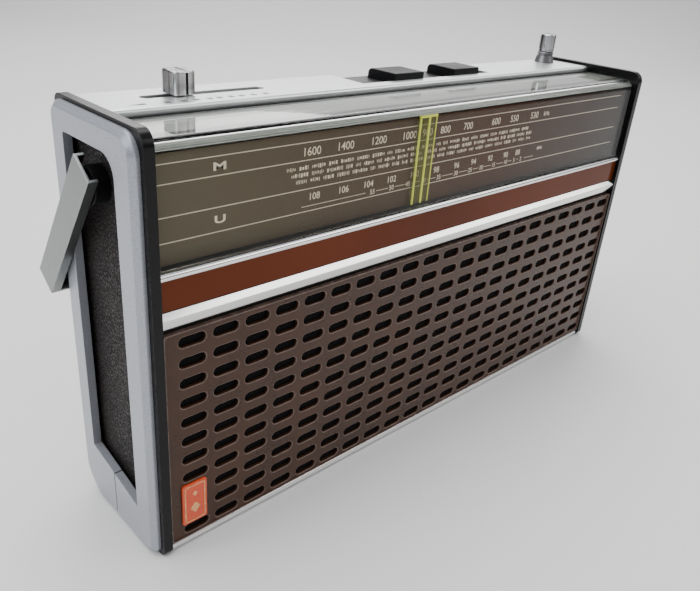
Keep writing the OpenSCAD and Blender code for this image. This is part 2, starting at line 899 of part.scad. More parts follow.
module board_components() {
  face = board_d + board_t;
  color([0.75, 0.76, 0.78])
    for (x = [-20, -4, 12, 28, 44])
      block([x - 5, x + 5], [face, face + 12], [88, 98]);
  color([0.1, 0.25, 0.5])
    for (x = [-22, -8, 60, 74])
      bar_y(x, face, face + 15, 72, 4.5);
  color([0.1, 0.1, 0.1])
    for (x = [6, 16, 26, 36])
      bar_y(x, face, face + 6, 78, 2.4);
  color([0.7, 0.55, 0.35])
    for (i = [0:7])
      bar_x(4 + 6 * i, 8 + 6 * i, face + 1.2, 67, 1.2);
  color([0.5, 0.5, 0.5])
    block([66, 86], [face, face + 16], [84, 100]);
}

// ---- Power supply ----

module battery_holder()
  color([0.3, 0.3, 0.3])
    difference() {
      along_x(bay_x0, bay_x1)
        rounded(bay_d0, bay_z0, bay_d1, bay_z1, [1, bay_r, 1, 1]);
      block([bay_x0 + bay_t, bay_x1 - bay_t], [bay_d0 + bay_t, bay_d1 + 1],
            [bay_z0 + bay_t, bay_z1 - bay_t]);
    }

module batteries()
  color([0.75, 0.6, 0.15])
    for (z = cell_zs, i = [0:2]) {
      x = bay_x0 + bay_t + 3.4 + cell_pitch * i;
      bar_x(x, x + cell_l, cell_d, z, cell_r);
      bar_x(x + cell_l - eps, x + cell_pitch - 0.1, cell_d, z, 3);
    }

module battery_contacts()
  color([0.85, 0.8, 0.6])
    for (z = cell_zs) {
      x0 = bay_x0 + bay_t;
      x1 = bay_x1 - bay_t;
      block([x0, x0 + 0.5], [cell_d - 8, cell_d + 8], [z - 8, z + 8]);
      translate([x0 + 0.4, y_front + cell_d, z])
        rotate([0, 90, 0])
          rotate_extrude()
            polygon([[5, 0], [7, 0], [5, 3], [3, 3]]);
      block([x1 - 0.5, x1], [cell_d - 8, cell_d + 8], [z - 8, z + 8]);
    }

module battery_door()
  color([0.05, 0.045, 0.045]) {
    along_x(door_x0 + door_gap, door_x1 - door_gap)
      intersection() {
        back_profile();
        translate([split_d, door_z0])
          square([body_d, door_z1 - door_gap - door_z0]);
      }
    bar_x(door_x0 - 1.4, door_x1 + 1.4, hinge_d, hinge_z, hinge_r);
  }

module earphone_socket()
  color([0.1, 0.1, 0.1])
    difference() {
      bar_y(socket_x, 40, back_d, socket_z, 4);
      bar_y(socket_x, 42, body_d, socket_z, socket_r);
    }

module case_screws()
  color([0.7, 0.7, 0.7])
    for (x = post_xs, z = post_zs) {
      difference() {
        bar_y(x, back_d - 1.2, back_d - 0.2, z, 2.8);
        block([x - 2.2, x + 2.2], [back_d - 0.7, back_d], [z - 0.35, z + 0.35]);
      }
      bar_y(x, 38.5, back_d - 1.1, z, 1.2);
    }

// ---- Handle, drawn hanging straight down and then folded back ----

module at_pivot()
  translate([0, y_front + pivot_d, pivot_z])
    rotate([fold_angle, 0, 0])
      children();

// A box about the pivot: limits along X, across the strip and along it
module limb(xs, ys, zs)
  translate([xs[0], ys[0], zs[0]])
    cube([xs[1] - xs[0], ys[1] - ys[0], zs[1] - zs[0]]);

// One strip bent into a U, with both arms folded to channels
module handle_strap()
  color([0.66, 0.68, 0.7])
    at_pivot() {
      both_ends()
        difference() {
          limb([arm_x - flange_h, arm_x], [-strip_w / 2, strip_w / 2], [-arm_l, arm_top]);
          limb([arm_x - flange_h - 1, arm_x - strip_t],
               [-strip_w / 2 + strip_t, strip_w / 2 - strip_t], [strip_t + 0.2 - arm_l, arm_top + 1]);
        }
      limb([-arm_x + 1, arm_x - 1], [-strip_w / 2, strip_w / 2], [-arm_l, strip_t + 0.2 - arm_l]);
    }

module handle_grip() {
  grip_x = arm_x - flange_h - 0.2;
  color([0.05, 0.05, 0.05])
    at_pivot() {
      translate([-grip_x, 0.6, strip_t + 0.2 - arm_l + grip_r])
        rotate([0, 90, 0])
          cylinder(r = grip_r, h = 2 * grip_x);
      limb([-grip_x, grip_x], [-2.6, 3.8],
           [strip_t + 0.2 - arm_l, strip_t + 0.2 + grip_foot - arm_l]);
    }
}

module handle_end_block()
  at_pivot() {
    difference() {
      union() {
        translate([hub_start, 0, 0])
          rotate([0, 90, 0])
            cylinder(r = hub_r, h = hub_end - hub_start);
        translate([hub_end - eps, 0, 0])
          rotate([0, 90, 0])
            cylinder(r = strip_w / 2 - strip_t - 0.1, h = arm_x - strip_t - hub_end + eps);
      }
      translate([half_w - 2, 0, 0])
        rotate([0, 90, 0])
          cylinder(r = pin_r + run_clear, h = arm_x - half_w + 0.6);
    }
    limb([arm_x - flange_h, arm_x - strip_t], [-strip_w / 2 + strip_t, strip_w / 2 - strip_t],
         [strip_t + 0.2 - arm_l, block_h - arm_l]);
  }

module handle_end_blocks()
  color([0.05, 0.05, 0.05])
    both_ends()
      handle_end_block();

module pivot_pins()
  color([0.6, 0.6, 0.6])
    both_ends() {
      bar_x(inner_w - eps, half_w + 5.3, pivot_d, pivot_z, pin_r);
      bar_x(inner_w - 2, inner_w, pivot_d, pivot_z, pin_head_r);
    }

// ---- Assembly ----

front_housing();
rear_cover();
top_frame();
top_plate();
left_end_plate();
right_end_plate();
left_side_frame();
right_side_frame();
left_side_inset();
right_side_inset();
dial_cover();
dial_scale();
dial_surround();
dial_pointer();
pointer_rail();
dial_cord();
cord_pulley_left();
cord_pulley_right();
dial_drum();
tuning_capacitor();
tuning_shaft();
tuning_knob();
inner_brackets();
trim_bar_upper();
gloss_band();
trim_bar_middle();
trim_bar_lower();
speaker_grille();
grille_cloth();
badge();
speaker_basket();
speaker_cone();
speaker_magnet();
volume_knob();
volume_slider_unit();
key_left();
key_right();
key_spring_left();
key_spring_right();
key_switch_unit();
antenna_tube();
antenna_collar();
antenna_section_1();
antenna_section_2();
antenna_section_3();
antenna_tip();
ferrite_rod();
ferrite_coils();
circuit_board();
board_components();
battery_holder();
batteries();
battery_contacts();
battery_door();
earphone_socket();
case_screws();
pivot_pins();
handle_strap();
handle_grip();
handle_end_blocks();
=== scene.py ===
"""Looks for the portable transistor radio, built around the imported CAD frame.

Everything is in metres in the CAD's own frame. Sizes below are given in millimetres and
turned into metres by MM. Depths are counted from the front edge of the end plates.
"""

import json
import math
import random

import bmesh
import bpy
from mathutils import Matrix, Vector


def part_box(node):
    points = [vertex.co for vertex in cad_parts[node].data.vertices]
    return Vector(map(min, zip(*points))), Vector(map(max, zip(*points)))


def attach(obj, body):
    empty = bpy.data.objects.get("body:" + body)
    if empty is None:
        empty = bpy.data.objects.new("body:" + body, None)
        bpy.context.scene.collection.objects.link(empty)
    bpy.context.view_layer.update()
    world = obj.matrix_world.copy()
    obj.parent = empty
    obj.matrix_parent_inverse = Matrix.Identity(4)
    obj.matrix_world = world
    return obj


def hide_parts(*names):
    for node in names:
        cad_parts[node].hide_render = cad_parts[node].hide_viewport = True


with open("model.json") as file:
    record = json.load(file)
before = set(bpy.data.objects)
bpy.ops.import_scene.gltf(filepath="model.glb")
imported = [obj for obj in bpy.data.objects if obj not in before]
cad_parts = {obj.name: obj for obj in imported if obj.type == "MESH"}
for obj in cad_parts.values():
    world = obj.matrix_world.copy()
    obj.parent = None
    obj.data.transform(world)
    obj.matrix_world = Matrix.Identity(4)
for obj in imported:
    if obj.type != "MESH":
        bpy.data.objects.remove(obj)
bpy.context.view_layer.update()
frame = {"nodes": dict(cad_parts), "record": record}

MM = 0.001
NODES = frame["nodes"]
FRONT_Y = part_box("left_end_plate")[0].y

# Camera, at the photograph's viewing angle
CAMERA_PLACE = Vector((-0.226105, -0.201455, 0.197450))
CAMERA_TURN = math.radians(45.048)
CAMERA_DOWN = math.radians(26.168)
CAMERA_ROLL = math.radians(4.801)
CAMERA_LENS = 36.85

# Grille
GRILLE_COLS = 21
GRILLE_ROWS = 11
SLOT_PITCH_X = 12.6
SLOT_PITCH_Z = 7.6
SLOT_FIRST_Z = 6.9
SLOT_SHIFT = 2.4
SLOT_LENGTH = 9.9
SLOT_HEIGHT = 3.7
SLOT_RIM = 0.38
GRILLE_RIM = 0.5
BADGE_ROWS = (1, 2)

# Dial print: place along the dial in millimetres, and the figure
MEDIUM_WAVE = [(-74, "1600"), (-59, "1400"), (-43, "1200"), (-27, "1000"), (-17, "900"),
               (-6.5, "800"), (7.5, "700"), (26, "600"), (39, "550"), (54, "530"), (63.5, "kHz")]
VERY_HIGH = [(-72, "108"), (-58.6, "106"), (-46.4, "104"), (-34.4, "102"), (-21.8, "100"),
             (-9, "98"), (3.6, "96"), (14.6, "94"), (26, "92"), (37, "90"), (46, "88"),
             (63, "MHz")]
CHANNELS = [(-44, "55"), (-34, "50"), (-25, "45"), (-16, "40"), (-7, "35"), (3.7, "30"),
            (13, "25"), (20.5, "20"), (29, "15"), (37.7, "10"), (44, "5"), (49, "2")]
RULES_Z = (138.6, 132.7, 122.8, 114.9)
RULE_X = (-132.8, 128.6)
STATION_ROWS_Z = (130.3, 128.0, 125.7)
CHANNEL_GAP = 1.9
BAND_NAME_X = -110.2
LOWER_NAME_Z = 119.0
UPPER_ROW_Z = 135.6
LOWER_ROW_Z = 120.0
CHANNEL_Z = 116.7
RULE_HALF = 0.14
PRINT_SHIFT = 0.6
PRINT_T = 0.03

# Font size over the height of its figures
FONT_RATIO = 1.38

# Volume scale on the top plate, and the slider's ribs
VOLUME_TICKS = (-111.3, -105.3, -100.7, -95.7, -92.0, -87.4, -83.2, -78.4, -73.2)
TICK_DEPTHS = (32.6, 35.0)
MARK_WEDGE = ((-124.5, 34.0), (-118.0, 33.2), (-118.0, 35.0))
KNOB_RIBS = 9

# Rounding of the clear cover, and the fluted strip that follows it: reaches from the
# rounding's middle, and the angle in degrees where the strip starts
COVER_ROUND = 4.6
LINER_RIDGE = 2.68
LINER_GROOVE = 2.45
LINER_INNER = 2.3
LINER_START = 28
FLUTES = 4

# Pointer and antenna
POINTER_HALF = 4.7
CARRIAGE_Z = 137.4
ROD_RADIUS = 1.55
CAP_LENGTH = 8.6

# Battery cells
CELL_RADIUS = 13.0
CELL_LENGTH = 47.6
CELL_PITCH = 49.5
CELL_COLUMNS = 3

# Floor with its bend up into a backdrop, in metres, and the backdrop's least strength
FLOOR_HALF_WIDTH = 3.0
FLOOR_NEAR = 9.0
FLOOR_FAR = 1.2
BACKDROP_BEND = 0.8
BACKDROP_WALL = 1.6
BEND_STEPS = 12
SEEN_STRENGTH = 0.62


def depth(d):
    """World Y of a depth behind the end plates' front edge, in millimetres."""
    return FRONT_Y + d * MM


def at(x, d, z):
    """World point from millimetres across, behind the front edge and up."""
    return Vector((x * MM, depth(d), z * MM))


def in_mm(box):
    """A box's (low, high) across, behind the front edge and up, in millimetres."""
    low, high = box
    return ((low.x / MM, high.x / MM), ((low.y - FRONT_Y) / MM, (high.y - FRONT_Y) / MM),
            (low.z / MM, high.z / MM))


# ---- Materials -----------------------------------------------------------------------


class Look:
    """A Principled material whose detail comes from object-space textures."""

    def __init__(self, name, metal=0.0, **sockets):
        self.material = bpy.data.materials.new(name)
        self.material.use_nodes = True
        self.tree = self.material.node_tree
        self.shader = self.tree.nodes["Principled BSDF"]
        self.shader.inputs["Metallic"].default_value = metal
        for socket, value in sockets.items():
            self.shader.inputs[socket.replace("_", " ")].default_value = value
        self.place = self.add("ShaderNodeTexCoord").outputs["Object"]

    def add(self, kind, **settings):
        made = self.tree.nodes.new(kind)
        for name, value in settings.items():
            setattr(made, name, value)
        return made

    def feed(self, socket, value):
        """Links an output to a socket, or sets the socket to a plain value."""
        if isinstance(value, bpy.types.NodeSocket):
            self.tree.links.new(value, socket)
        else:
            socket.default_value = value

    def stretched(self, stretch):
        mapping = self.add("ShaderNodeMapping")
        self.feed(mapping.inputs["Vector"], self.place)
        mapping.inputs["Scale"].default_value = stretch
        return mapping.outputs["Vector"]

    def noise(self, scale, detail=3.0, stretch=(1, 1, 1), distortion=0.0):
        made = self.add("ShaderNodeTexNoise")
        self.feed(made.inputs["Vector"], self.stretched(stretch))
        made.inputs["Scale"].default_value = scale
        made.inputs["Detail"].default_value = detail
        made.inputs["Distortion"].default_value = distortion
        return made.outputs["Fac"]

    def cells(self, scale, feature="F1", warp=0.0):
        made = self.add("ShaderNodeTexVoronoi", feature=feature)
        vector = self.place
        if warp:
            wobble = self.add("ShaderNodeTexNoise")
            self.feed(wobble.inputs["Vector"], vector)
            wobble.inputs["Scale"].default_value = scale * 0.6
            moved = self.add("ShaderNodeVectorMath", operation="MULTIPLY_ADD")
            self.feed(moved.inputs[0], wobble.outputs["Color"])
            moved.inputs[1].default_value = (warp, warp, warp)
            self.feed(moved.inputs[2], vector)
            vector = moved.outputs["Vector"]
        self.feed(made.inputs["Vector"], vector)
        made.inputs["Scale"].default_value = scale
        return made.outputs["Distance"]

    def stripes(self, scale, direction="X", distortion=0.0):
        made = self.add("ShaderNodeTexWave", bands_direction=direction)
        self.feed(made.inputs["Vector"], self.place)
        made.inputs["Scale"].default_value = scale
        made.inputs["Distortion"].default_value = distortion
        return made.outputs["Fac"]

    def along(self, axis):
        """The object-space coordinate on one axis, in metres."""
        split = self.add("ShaderNodeSeparateXYZ")
        self.feed(split.inputs[0], self.place)
        return split.outputs[axis]

    def spread(self, value, low, high, start=0.0, end=1.0):
        """Maps start..end of a value to low..high, clamped."""
        made = self.add("ShaderNodeMapRange")
        self.feed(made.inputs["Value"], value)
        made.inputs["From Min"].default_value = start
        made.inputs["From Max"].default_value = end
        made.inputs["To Min"].default_value = low
        made.inputs["To Max"].default_value = high
        return made.outputs["Result"]

    def math(self, operation, a, b=0.0):
        made = self.add("ShaderNodeMath", operation=operation)
        self.feed(made.inputs[0], a)
        self.feed(made.inputs[1], b)
        return made.outputs[0]

    def mix(self, factor, a, b):
        """Blends two colours."""
        made = self.add("ShaderNodeMix", data_type="RGBA")
        self.feed(made.inputs[0], factor)
        for index, colour in ((6, a), (7, b)):
            if isinstance(colour, bpy.types.NodeSocket):
                self.feed(made.inputs[index], colour)
            else:
                made.inputs[index].default_value = (*colour, 1.0)
        return made.outputs[2]

    def edges(self, radius, low, high):
        """1 near the convex edges of a piece and 0 on its flats."""
        bevel = self.add("ShaderNodeBevel", samples=4)
        bevel.inputs["Radius"].default_value = radius * MM
        normal = self.add("ShaderNodeNewGeometry").outputs["Normal"]
        product = self.add("ShaderNodeVectorMath", operation="DOT_PRODUCT")
        self.feed(product.inputs[0], bevel.outputs["Normal"])
        self.feed(product.inputs[1], normal)
        return self.spread(product.outputs["Value"], 1.0, 0.0, low, high)

    def colour(self, value):
        self.feed(self.shader.inputs["Base Color"], value)

    def rough(self, value):
        self.feed(self.shader.inputs["Roughness"], value)

    def bump(self, height, height_mm):
        made = self.add("ShaderNodeBump")
        self.feed(made.inputs["Height"], height)
        made.inputs["Distance"].default_value = height_mm * MM
        made.inputs["Strength"].default_value = 1.0
        previous = self.shader.inputs["Normal"]
        if previous.is_linked:
            self.feed(made.inputs["Normal"], previous.links[0].from_socket)
        self.feed(previous, made.outputs["Normal"])


def shade(colour, factor):
    """A colour with every channel scaled by a factor."""
    return tuple(min(1.0, channel * factor) for channel in colour)


def surface(name, colour, rough, metal=0.0, *, tone=0.8, patch=40.0, vary=0.06, grain=900.0,
            stretch=(1, 1, 1), relief=0.01, wear=None, wear_radius=0.5, wear_rough=0.35,
            **sockets):
    """A finish with broad colour patches, fine grain and, where asked for, worn edges."""
    look = Look(name, metal, **sockets)
    broad = look.noise(patch, 5.0)
    fine = look.noise(grain, 3.0, stretch)
    base = look.mix(look.spread(broad, 0.0, 1.0, 0.3, 0.7), shade(colour, tone), colour)
    uneven = look.math("ADD", look.spread(fine, -vary, vary), look.spread(broad, -vary, vary, 0.3, 0.7))
    roughness = look.math("ADD", uneven, rough)
    if wear:
        rubbed = look.spread(look.noise(260.0, 4.0), 0.0, 1.0, 0.42, 0.62)
        mask = look.math("MULTIPLY", look.edges(wear_radius, 0.80, 0.97), rubbed)
        base = look.mix(mask, base, wear)
        roughness = look.math("MAXIMUM", roughness, look.math("MULTIPLY", mask, wear_rough))
    look.colour(base)
    look.rough(roughness)
    look.bump(fine, relief)
    return look.material


def brushed_aluminium():
    """Top plate: fine lines along its length, and faint scratches."""
    look = Look("top_aluminium", 1.0)
    lines = look.noise(1400.0, 2.0, (0.02, 1.0, 1.0))
    broad = look.noise(18.0, 4.0)
    scratches = look.spread(look.noise(420.0, 2.0, (0.06, 1.0, 1.0), 0.6), 0.0, 1.0, 0.66, 0.72)
    tint = look.mix(look.spread(lines, 0.0, 1.0, 0.3, 0.7), (0.70, 0.725, 0.725), (0.83, 0.85, 0.85))
    tint = look.mix(look.spread(broad, 0.0, 0.35, 0.45, 0.7), tint, (0.66, 0.68, 0.69))
    look.colour(look.mix(look.math("MULTIPLY", scratches, 0.3), tint, (0.93, 0.94, 0.94)))
    fine = look.spread(lines, 0.30, 0.42, 0.3, 0.7)
    look.rough(look.math("ADD", fine, look.spread(broad, -0.04, 0.06, 0.35, 0.65)))
    look.bump(lines, 0.012)
    return look.material


def leatherette():
    """Pebbled leathercloth: small pebbles parted by creases, with painted shade darkening the creases and
    pits.
    """
    look = Look("leatherette", Specular_IOR_Level=0.28)
    creases = look.cells(760.0, "DISTANCE_TO_EDGE", warp=0.0008)
    pits = look.noise(1500.0, 3.0)
    broad = look.noise(60.0, 4.0)
    tops = look.spread(creases, 0.0, 1.0, 0.02, 0.22)
    # Painted shade: the creases are coloured far darker than the pebble tops.
    tint = look.mix(tops, (0.002, 0.0018, 0.0018), (0.034, 0.027, 0.024))
    # Painted shade: the pits are coloured dark.
    tint = look.mix(look.spread(pits, 0.8, 0.0, 0.38, 0.5), tint, (0.004, 0.0035, 0.003))
    look.colour(look.mix(look.spread(broad, 0.0, 0.35, 0.45, 0.75), tint, (0.040, 0.032, 0.028)))
    look.rough(look.spread(tops, 0.75, 0.42))
    look.bump(tops, 0.22)
    look.bump(pits, 0.06)
    return look.material


def silver_paint():
    """Satin silver of the end frames, rubbed through to a copper tone along its edges."""
    look = Look("silver_frame", 0.4, Coat_Weight=0.2, Coat_Roughness=0.25)
    flakes = look.noise(2600.0, 2.0)
    broad = look.noise(26.0, 5.0)
    glint = look.spread(flakes, 0.0, 1.0, 0.35, 0.65)
    tint = look.mix(glint, (0.30, 0.315, 0.35), (0.42, 0.435, 0.475))
    tint = look.mix(look.spread(broad, 0.0, 0.4, 0.45, 0.7), tint, (0.34, 0.35, 0.395))
    spots = look.spread(look.noise(170.0, 6.0, distortion=0.4), 0.0, 1.0, 0.52, 0.66)
    worn = look.math("MULTIPLY", look.edges(0.9, 0.72, 0.95), spots)
    look.colour(look.mix(worn, tint, (0.26, 0.15, 0.10)))
    look.rough(look.math("ADD", look.spread(flakes, 0.26, 0.36), look.spread(broad, -0.04, 0.05)))
    look.bump(flakes, 0.006)
    return look.material


def chrome_streaks_painted_reflection(name, dark, bright, rough, scale):
    """Polished metal with upright light and dark streaks, partly real marks from drawing and partly a
    painted reflection.
    """
    look = Look(name, 1.0)
    streaks_and_painted_reflection = look.noise(scale, 3.0, (1.0, 1.0, 0.02), 0.3)
    fine = look.noise(scale * 6, 2.0, (1.0, 1.0, 0.05))
    # Painted reflection in part: the streaks swing the colour from dark to bright.
    look.colour(look.mix(look.spread(streaks_and_painted_reflection, 0.0, 1.0, 0.40, 0.60), dark, bright))
    look.rough(look.spread(fine, rough * 0.7, rough * 1.3))
    look.bump(fine, 0.002)
    return look.material


def grille_weave():
    """Black woven cloth behind the grille."""
    look = Look("grille_fabric", Specular_IOR_Level=0.1)
    warp = look.stripes(520.0, "X", 0.4)
    weft = look.stripes(520.0, "Z", 0.4)
    threads = look.math("MAXIMUM", warp, weft)
    look.colour(look.mix(threads, (0.001, 0.001, 0.001), (0.007, 0.006, 0.006)))
    look.rough(look.spread(threads, 0.95, 0.7))
    look.bump(threads, 0.25)
    return look.material


def clear_acrylic():
    """Clear cover. Light that falls on the dial passes straight through it."""
    look = Look("clear_acrylic", Transmission_Weight=1.0, IOR=1.22,
                Specular_Tint=(0.35, 0.36, 0.35, 1.0))
    haze = look.noise(240.0, 5.0)
    hairlines = look.spread(look.noise(500.0, 2.0, (0.05, 1.0, 1.0), 0.5), 0.0, 0.05, 0.64, 0.75)
    look.colour(look.mix(haze, (0.93, 0.95, 0.93), (0.98, 0.985, 0.975)))
    look.rough(look.math("ADD", look.spread(haze, 0.004, 0.018, 0.35, 0.7), hairlines))
    through = look.add("ShaderNodeBsdfTransparent")
    through.inputs["Color"].default_value = (0.93, 0.94, 0.93, 1.0)
    path = look.add("ShaderNodeLightPath")
    switch = look.add("ShaderNodeMixShader")
    output = look.tree.nodes["Material Output"]
    passed = look.math("MAXIMUM", path.outputs["Is Shadow Ray"], path.outputs["Is Diffuse Ray"])
    look.feed(switch.inputs[0], passed)
    look.feed(switch.inputs[1], look.shader.outputs[0])
    look.feed(switch.inputs[2], through.outputs[0])
    look.feed(output.inputs["Surface"], switch.outputs[0])
    return look.material


def pointer_clear():
    """Body of the pointer: tinted and see-through."""
    look = Look("pointer_acrylic", Alpha=0.30, Specular_IOR_Level=0.2)
    haze = look.noise(500.0, 3.0)
    look.colour(look.mix(haze, (0.17, 0.17, 0.01), (0.24, 0.23, 0.02)))
    look.rough(look.spread(haze, 0.06, 0.16))
    return look.material


def pointer_edge_painted_glow():
    """Edges of the fluorescent pointer, where its light comes out. The glow is painted: a weak emission,
    though the pointer is no lamp.
    """
    look = Look("pointer_edge", Specular_IOR_Level=0.3)
    mottled = look.noise(900.0, 3.0)
    look.colour(look.mix(mottled, (0.58, 0.60, 0.05), (0.82, 0.82, 0.16)))
    look.rough(look.spread(mottled, 0.12, 0.3))
    # Painted glow: a weak emission on the pointer's edges.
    look.shader.inputs["Emission Color"].default_value = (0.70, 0.72, 0.06, 1.0)
    look.shader.inputs["Emission Strength"].default_value = 0.22
    return look.material


def dial_background_painted_reflection():
    """Dial plate. Its drift from olive grey at the left end, through red-brown in the middle, to dark at
    the right is a painted reflection.
    """
    look = Look("dial_background_painted_reflection", Specular_IOR_Level=0.0)
    fibres = look.noise(900.0, 3.0)
    # Painted reflection: the colour drifts from olive grey to red-brown along the dial.
    painted_reflection_drift = look.spread(look.along("X"), 0.0, 1.0, -0.125, 0.03)
    tint = look.mix(painted_reflection_drift, (0.145, 0.120, 0.083), (0.082, 0.034, 0.019))
    # Painted reflection: the right end of the dial is coloured dark.
    painted_dark_reflection_end = look.spread(look.along("X"), 0.0, 1.0, 0.03, 0.12)
    tint = look.mix(painted_dark_reflection_end, tint, (0.038, 0.028, 0.024))
    look.colour(look.mix(look.math("MULTIPLY", fibres, 0.10), tint, (0.08, 0.06, 0.045)))
    look.rough(look.spread(fibres, 0.42, 0.55))
    return look.material


def copper_winding():
    """Copper wire wound side by side, darker between the turns as painted shade."""
    look = Look("copper_wire", 0.9)
    turns = look.stripes(640.0, "X")
    # Painted shade: each turn's colour darkens towards the grooves between turns.
    look.colour(look.mix(turns, (0.16, 0.05, 0.02), (0.66, 0.30, 0.12)))
    look.rough(look.spread(look.noise(700.0), 0.25, 0.4))
    look.bump(turns, 0.3)
    return look.material


def cell_jacket():
    """Printed battery jacket: a dark and an ochre field with a light band between them."""
    look = Look("cell_wrap", 0.35, Coat_Weight=0.5, Coat_Roughness=0.12)
    bands = look.stripes(6.35, "X")
    scuffs = look.spread(look.noise(300.0, 5.0), 0.0, 1.0, 0.55, 0.7)
    dark_to_ochre = look.spread(bands, 0.0, 1.0, 0.46, 0.50)
    tint = look.mix(dark_to_ochre, (0.02, 0.03, 0.06), (0.62, 0.42, 0.07))
    tint = look.mix(look.spread(bands, 0.0, 1.0, 0.88, 0.90), tint, (0.8, 0.78, 0.7))
    look.colour(look.mix(look.math("MULTIPLY", scuffs, 0.35), tint, (0.4, 0.4, 0.38)))
    look.rough(look.spread(scuffs, 0.22, 0.45))
    look.bump(look.noise(600.0), 0.02)
    return look.material


def component_mix():
    """Parts on the board: the colour changes from part to part with its place."""
    look = Look("components", 0.2)
    grid = look.add("ShaderNodeTexVoronoi", feature="F1")
    look.feed(grid.inputs["Vector"], look.place)
    grid.inputs["Scale"].default_value = 70.0
    ramp = look.add("ShaderNodeValToRGB")
    ramp.color_ramp.interpolation = "CONSTANT"
    shades = [(0.03, 0.05, 0.12), (0.45, 0.30, 0.16), (0.55, 0.56, 0.58), (0.30, 0.05, 0.03)]
    ramp.color_ramp.elements[0].color = (*shades[0], 1.0)
    ramp.color_ramp.elements[1].color = (*shades[3], 1.0)
    ramp.color_ramp.elements[1].position = 0.8
    for position, colour in ((0.3, shades[1]), (0.55, shades[2])):
        ramp.color_ramp.elements.new(position).color = (*colour, 1.0)
    look.feed(ramp.inputs[0], grid.outputs["Color"])
    dirt = look.noise(300.0, 4.0)
    look.colour(look.mix(look.spread(dirt, 0.0, 0.4, 0.4, 0.7), ramp.outputs["Color"], (0.1, 0.09, 0.08)))
    look.rough(look.spread(dirt, 0.3, 0.5))
    look.bump(dirt, 0.05)
    return look.material


def board_laminate():
    """Brown circuit board with its tracks."""
    look = Look("board_laminate", Coat_Weight=0.3, Coat_Roughness=0.3)
    fibres = look.noise(700.0, 4.0, (1.0, 1.0, 0.2))
    tracks = look.spread(look.cells(190.0, "DISTANCE_TO_EDGE"), 0.0, 1.0, 0.10, 0.14)
    tint = look.mix(fibres, (0.28, 0.16, 0.06), (0.45, 0.29, 0.12))
    look.colour(look.mix(tracks, (0.42, 0.20, 0.08), tint))
    look.rough(look.spread(tracks, 0.3, 0.5))
    look.bump(tracks, 0.05)
    return look.material


def floor_look():
    """Plain pale paper under the radio."""
    look = Look("floor_paper")
    fibres = look.noise(900.0, 4.0)
    look.colour(look.mix(fibres, (0.80, 0.795, 0.785), (0.83, 0.825, 0.815)))
    look.rough(look.spread(fibres, 0.55, 0.65))
    return look.material


